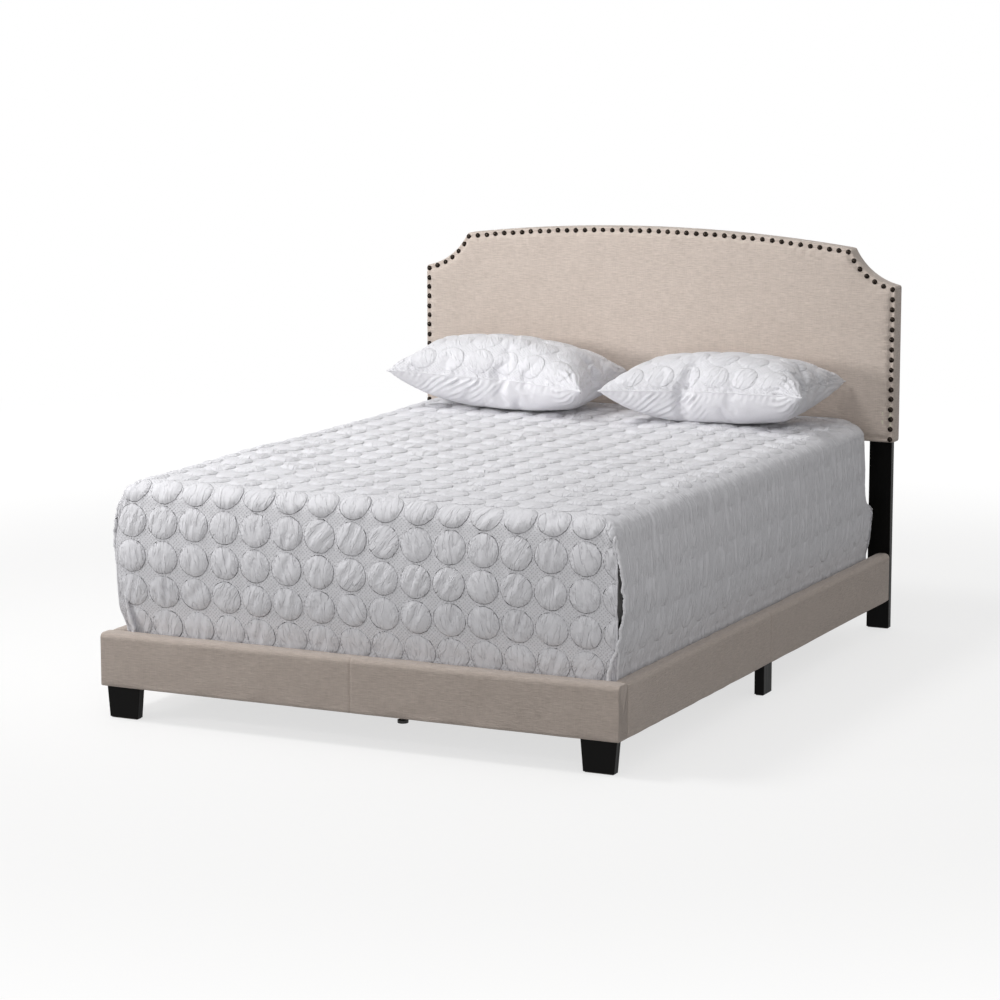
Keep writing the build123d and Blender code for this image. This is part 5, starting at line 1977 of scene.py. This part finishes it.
@dataclass
class Slab:
    """A soft rounded block with piping round its top and bottom edges."""

    name: str
    half: float
    foot: float
    head: float
    low: float
    high: float
    corner: float
    edge: float
    bulge: float
    channels: int
    piping: float
    pipe_gap: float

    def outline(self, inset: float, count: int = 12) -> tuple[Array, Array]:
        """The rounded plan outline, drawn in by inset, and its run.

        Args:
            inset: Distance inside the outline.
            count: Steps in each rounded corner.

        Returns:
            The points, and how far along the outline each one lies.
        """
        r = max(self.corner - inset, 0.004)
        x, y0, y1 = self.half - inset, self.foot + inset, self.head - inset
        points = []
        for cx, cy, start in (
            (x - r, y0 + r, 270), (x - r, y1 - r, 0), (-x + r, y1 - r, 90), (-x + r, y0 + r, 180)
        ):
            turns = np.radians(start + 90 * np.arange(count + 1) / count)
            points += [(cx + r * math.cos(turn), cy + r * math.sin(turn)) for turn in turns]
        return densify(points, 0.2, np.arange(30) / 30)

    def levels(self) -> list[tuple[float, float]]:
        """Inset and height of each ring, from the middle of the bottom to that of the top.

        Returns:
            Inset and height of each row.
        """
        e = self.edge
        low = [
            (e * (1 - math.sin(a)), self.low + e * (1 - math.cos(a)))
            for a in np.linspace(0, math.pi / 2, 9)
        ]
        wall_low, wall_high = self.low + e, self.high - e
        count = max(6, self.channels * 8)
        wall = []
        for k in range(1, count):
            share = k / count
            swell = self.bulge * abs(math.sin(math.pi * share * self.channels)) ** 0.6
            wall.append((-swell, wall_low + (wall_high - wall_low) * share))
        high = [(i, self.high - (z - self.low)) for i, z in reversed(low)]
        return (
            [(e + 0.25, self.low), (e + 0.08, self.low)]
            + low
            + wall
            + high
            + [(e + 0.08, self.high), (e + 0.25, self.high)]
        )

    def build(self, material: Material, pipe_material: Material, body: str, slot: str, node: str) -> None:
        """Makes the block and its piping.

        Args:
            material: The material that covers it.
            pipe_material: The material of its piping.
            body: The moving body that carries it.
            slot: The CAD material slot that it takes the place of.
            node: The CAD node that it stands for.
        """
        rows, cloth, rise = [], [], 0.0
        last = None
        soft = Ripples(51, 0.3)
        for inset, z in self.levels():
            plan, run = self.outline(max(inset, -0.02))
            if last is not None:
                rise += math.hypot(inset - last[0], z - last[1])
            last = (inset, z)
            wave = 0.3 * self.bulge * soft.at(plan[:, 0], plan[:, 1] + z) * float(ease(inset, 0.12, 0.02))
            away = plan / np.linalg.norm(plan, axis=1)[:, None]
            moved = plan + away * wave[:, None]
            rows.append(np.stack([moved[:, 0], moved[:, 1], np.full(len(plan), z)], 1))
            cloth.append(np.stack([run, np.full(len(run), rise)], 1))
        count = len(rows[0])
        points, coords = np.concatenate(rows), np.concatenate(cloth)
        faces = lattice(len(rows), count, closed=True)
        faces.append(tuple(range(count))[::-1])
        faces.append(tuple((len(rows) - 1) * count + k for k in range(count)))
        block = Rails.outward(make_piece(self.name, points, faces, coords))
        block.data.materials.append(material)
        parts = [block]
        if self.piping:
            for z, inset in (
                (self.low + self.pipe_gap, self.edge * 0.3), (self.high - self.pipe_gap, self.edge * 0.3)
            ):
                plan, _ = self.outline(inset)
                plan = np.concatenate([plan, plan[:1]])
                tube = roll(
                    "piping", np.stack([plan[:, 0], plan[:, 1], np.full(len(plan), z)], 1), self.piping, 8
                )
                tube.data.materials.append(pipe_material)
                parts.append(tube)
        made = join_pieces(self.name, parts)
        declare(made, body, slot, node)


@dataclass
class Studio:
    """Camera, lamps, floor and world."""

    floor_tone: Triple = (0.30, 0.298, 0.295)
    floor_glow: float = 0.68
    floor_half: float = 60.0
    white_from: float = 2.2
    white_at: float = 6.5
    sky: float = 0.45
    sensor: float = 36.0
    lens: float = 120.497
    eye: Triple = (4.289, -9.042, 2.202)
    pitch: float = 80.493
    heading: float = 25.732

    def camera(self) -> None:
        """The photograph's view."""
        data = bpy.data.cameras.new("camera")
        data.sensor_width, data.lens = self.sensor, self.lens
        eye = add_object("camera", data)
        eye.location = self.eye
        eye.rotation_euler = (math.radians(self.pitch), 0, math.radians(self.heading))
        data.clip_end = 100
        bpy.context.scene.camera = eye

    def lamp(
        self,
        name: str,
        place: Triple,
        aim: Triple,
        size: tuple[float, float],
        power: float,
        spread: float = 180,
    ) -> None:
        """A soft lamp.

        Args:
            name: Its name.
            place: Where it stands.
            aim: The point that it faces.
            size: Its width and height, in metres.
            power: Its power, in watts.
            spread: How wide it shines, in degrees.
        """
        data = bpy.data.lights.new(name, "AREA")
        data.shape = "RECTANGLE"
        data.size, data.size_y = size
        data.energy, data.spread = power, math.radians(spread)
        lamp = add_object(name, data)
        lamp.location = place
        lamp.rotation_euler = (Vector(aim) - Vector(place)).to_track_quat("-Z", "Y").to_euler()

    def floor(self) -> None:
        """A plain pale floor that keeps the bed's shadow and runs out to white."""
        s = Shader("pale_floor")
        path = s.node("LightPath")
        seen = s.math("MAXIMUM", path.outputs["Is Camera Ray"], path.outputs["Is Glossy Ray"])
        seen = s.math("MAXIMUM", seen, path.outputs["Is Transmission Ray"])
        away = s.node("VectorMath", operation="LENGTH", in_0=s.place()).outputs["Value"]
        far = s.node(
            "MapRange", interpolation_type="SMOOTHSTEP", in_Value=away, in_1=self.white_from,
            in_2=self.white_at,
        ).outputs[0]
        grain = s.noise(s.place(), 30, 4)
        s.finish(
            s.mix(s.times(grain, 0.08), self.floor_tone, shade(self.floor_tone, 0.9)),
            0.8,
            None,
            Specular_IOR_Level=0.1,
        )
        glow = s.node(
            "Emission",
            in_Color=(1, 1, 1, 1),
            in_Strength=s.times(seen, s.math("MULTIPLY_ADD", far, 1 - self.floor_glow, self.floor_glow)),
        )
        both = s.node("AddShader", in_0=s.body.outputs[0], in_1=glow.outputs[0])
        bright = s.node("Emission", in_Color=(1, 1, 1, 1), in_Strength=1.0)
        edge = s.node("MixShader", in_0=s.times(far, seen), in_1=both.outputs[0], in_2=bright.outputs[0])
        s.link(edge.outputs[0], s.out.inputs["Surface"])
        size = self.floor_half
        mesh = bpy.data.meshes.new("floor")
        mesh.from_pydata(
            [(-size, -size, 0), (size, -size, 0), (size, size, 0), (-size, size, 0)], [], [(0, 1, 2, 3)]
        )
        mesh.materials.append(s.material)
        add_object("floor", mesh)

    def world(self) -> None:
        """Plain soft light all round, white where the camera or gloss sees it."""
        world = bpy.data.worlds.new("studio")
        world.use_nodes = True
        bpy.context.scene.world = world
        nodes, links = world.node_tree.nodes, world.node_tree.links
        nodes.clear()
        path, strength = nodes.new("ShaderNodeLightPath"), nodes.new("ShaderNodeMapRange")
        glow, out = nodes.new("ShaderNodeBackground"), nodes.new("ShaderNodeOutputWorld")
        seen = nodes.new("ShaderNodeMath")
        seen.operation = "MAXIMUM"
        mirrored = nodes.new("ShaderNodeMath")
        mirrored.operation = "MAXIMUM"
        links.new(path.outputs["Is Glossy Ray"], mirrored.inputs[0])
        links.new(path.outputs["Is Transmission Ray"], mirrored.inputs[1])
        links.new(path.outputs["Is Camera Ray"], seen.inputs[0])
        links.new(mirrored.outputs[0], seen.inputs[1])
        links.new(seen.outputs[0], strength.inputs["Value"])
        strength.inputs["To Min"].default_value = self.sky
        strength.inputs["To Max"].default_value = 1.0
        glow.inputs["Color"].default_value = (1, 1, 1, 1)
        links.new(strength.outputs[0], glow.inputs["Strength"])
        links.new(glow.outputs[0], out.inputs["Surface"])

    def build(self) -> None:
        """Sets the whole stage."""
        bpy.context.scene.view_settings.view_transform = "Standard"
        self.camera()
        self.lamp("key", place=(-2.6, -1.4, 5.6), aim=(0, 0, 0.5), size=(1.4, 1.4), power=135)
        self.lamp(
            "window", place=(-3.0, -2.9, 1.75), aim=(0.1, 1.0, 1.2), size=(0.9, 0.8), power=13.2, spread=66
        )
        self.lamp(
            "fill", place=(3.4, -5.6, 1.7), aim=(0.2, -1.0, 0.45), size=(2.4, 1.6), power=15, spread=100
        )
        self.floor()
        self.world()


def main() -> None:
    """Builds the looks piece by piece."""
    logging.basicConfig(level=logging.INFO, format="%(message)s")
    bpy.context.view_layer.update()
    finishes = Finishes()
    finishes.dress_nodes()
    board = Headboard(finishes)
    board.cover()
    board.nails()
    board.dust_cloth()
    Rails(finishes).build()
    base = Slab(
        "box_spring_cloth_cover", half=0.745, foot=-1.013, head=1.002, low=0.145, high=0.375, corner=0.010,
        edge=0.008, bulge=0.0012, channels=1, piping=0.0035, pipe_gap=0.006,
    )
    base.build(finishes.spring_cloth, finishes.spring_cloth, "box_spring", "ticking", "box_spring_cover")
    mattress = Slab(
        "mattress_cover", half=0.7605, foot=-1.0285, head=1.0005, low=base.high, high=0.6775, corner=0.068,
        edge=0.045, bulge=0.0025, channels=3, piping=0.005, pipe_gap=0.040,
    )
    mattress.build(finishes.ticking, finishes.spring_cloth, "mattress", "ticking", "mattress_ticking")
    quilt = Quilt(finishes)
    quilt.build()
    seam = quilt.top + PILLOW_SEAM_LIFT
    left = Pillow(
        finishes, Side.LEFT, x=-0.402, seam=seam, crown=0.121, belly=0.122, tilt=2.6, turn=1.5, seed=71,
        shift=0.002,
    )
    right = Pillow(
        finishes, Side.RIGHT, x=0.345, seam=seam, crown=0.106, belly=0.127, tilt=-1.3, turn=1.0, seed=72,
        shift=0.014,
    )
    left.build()
    right.build()
    Studio().build()


if __name__ == "__main__":
    main()
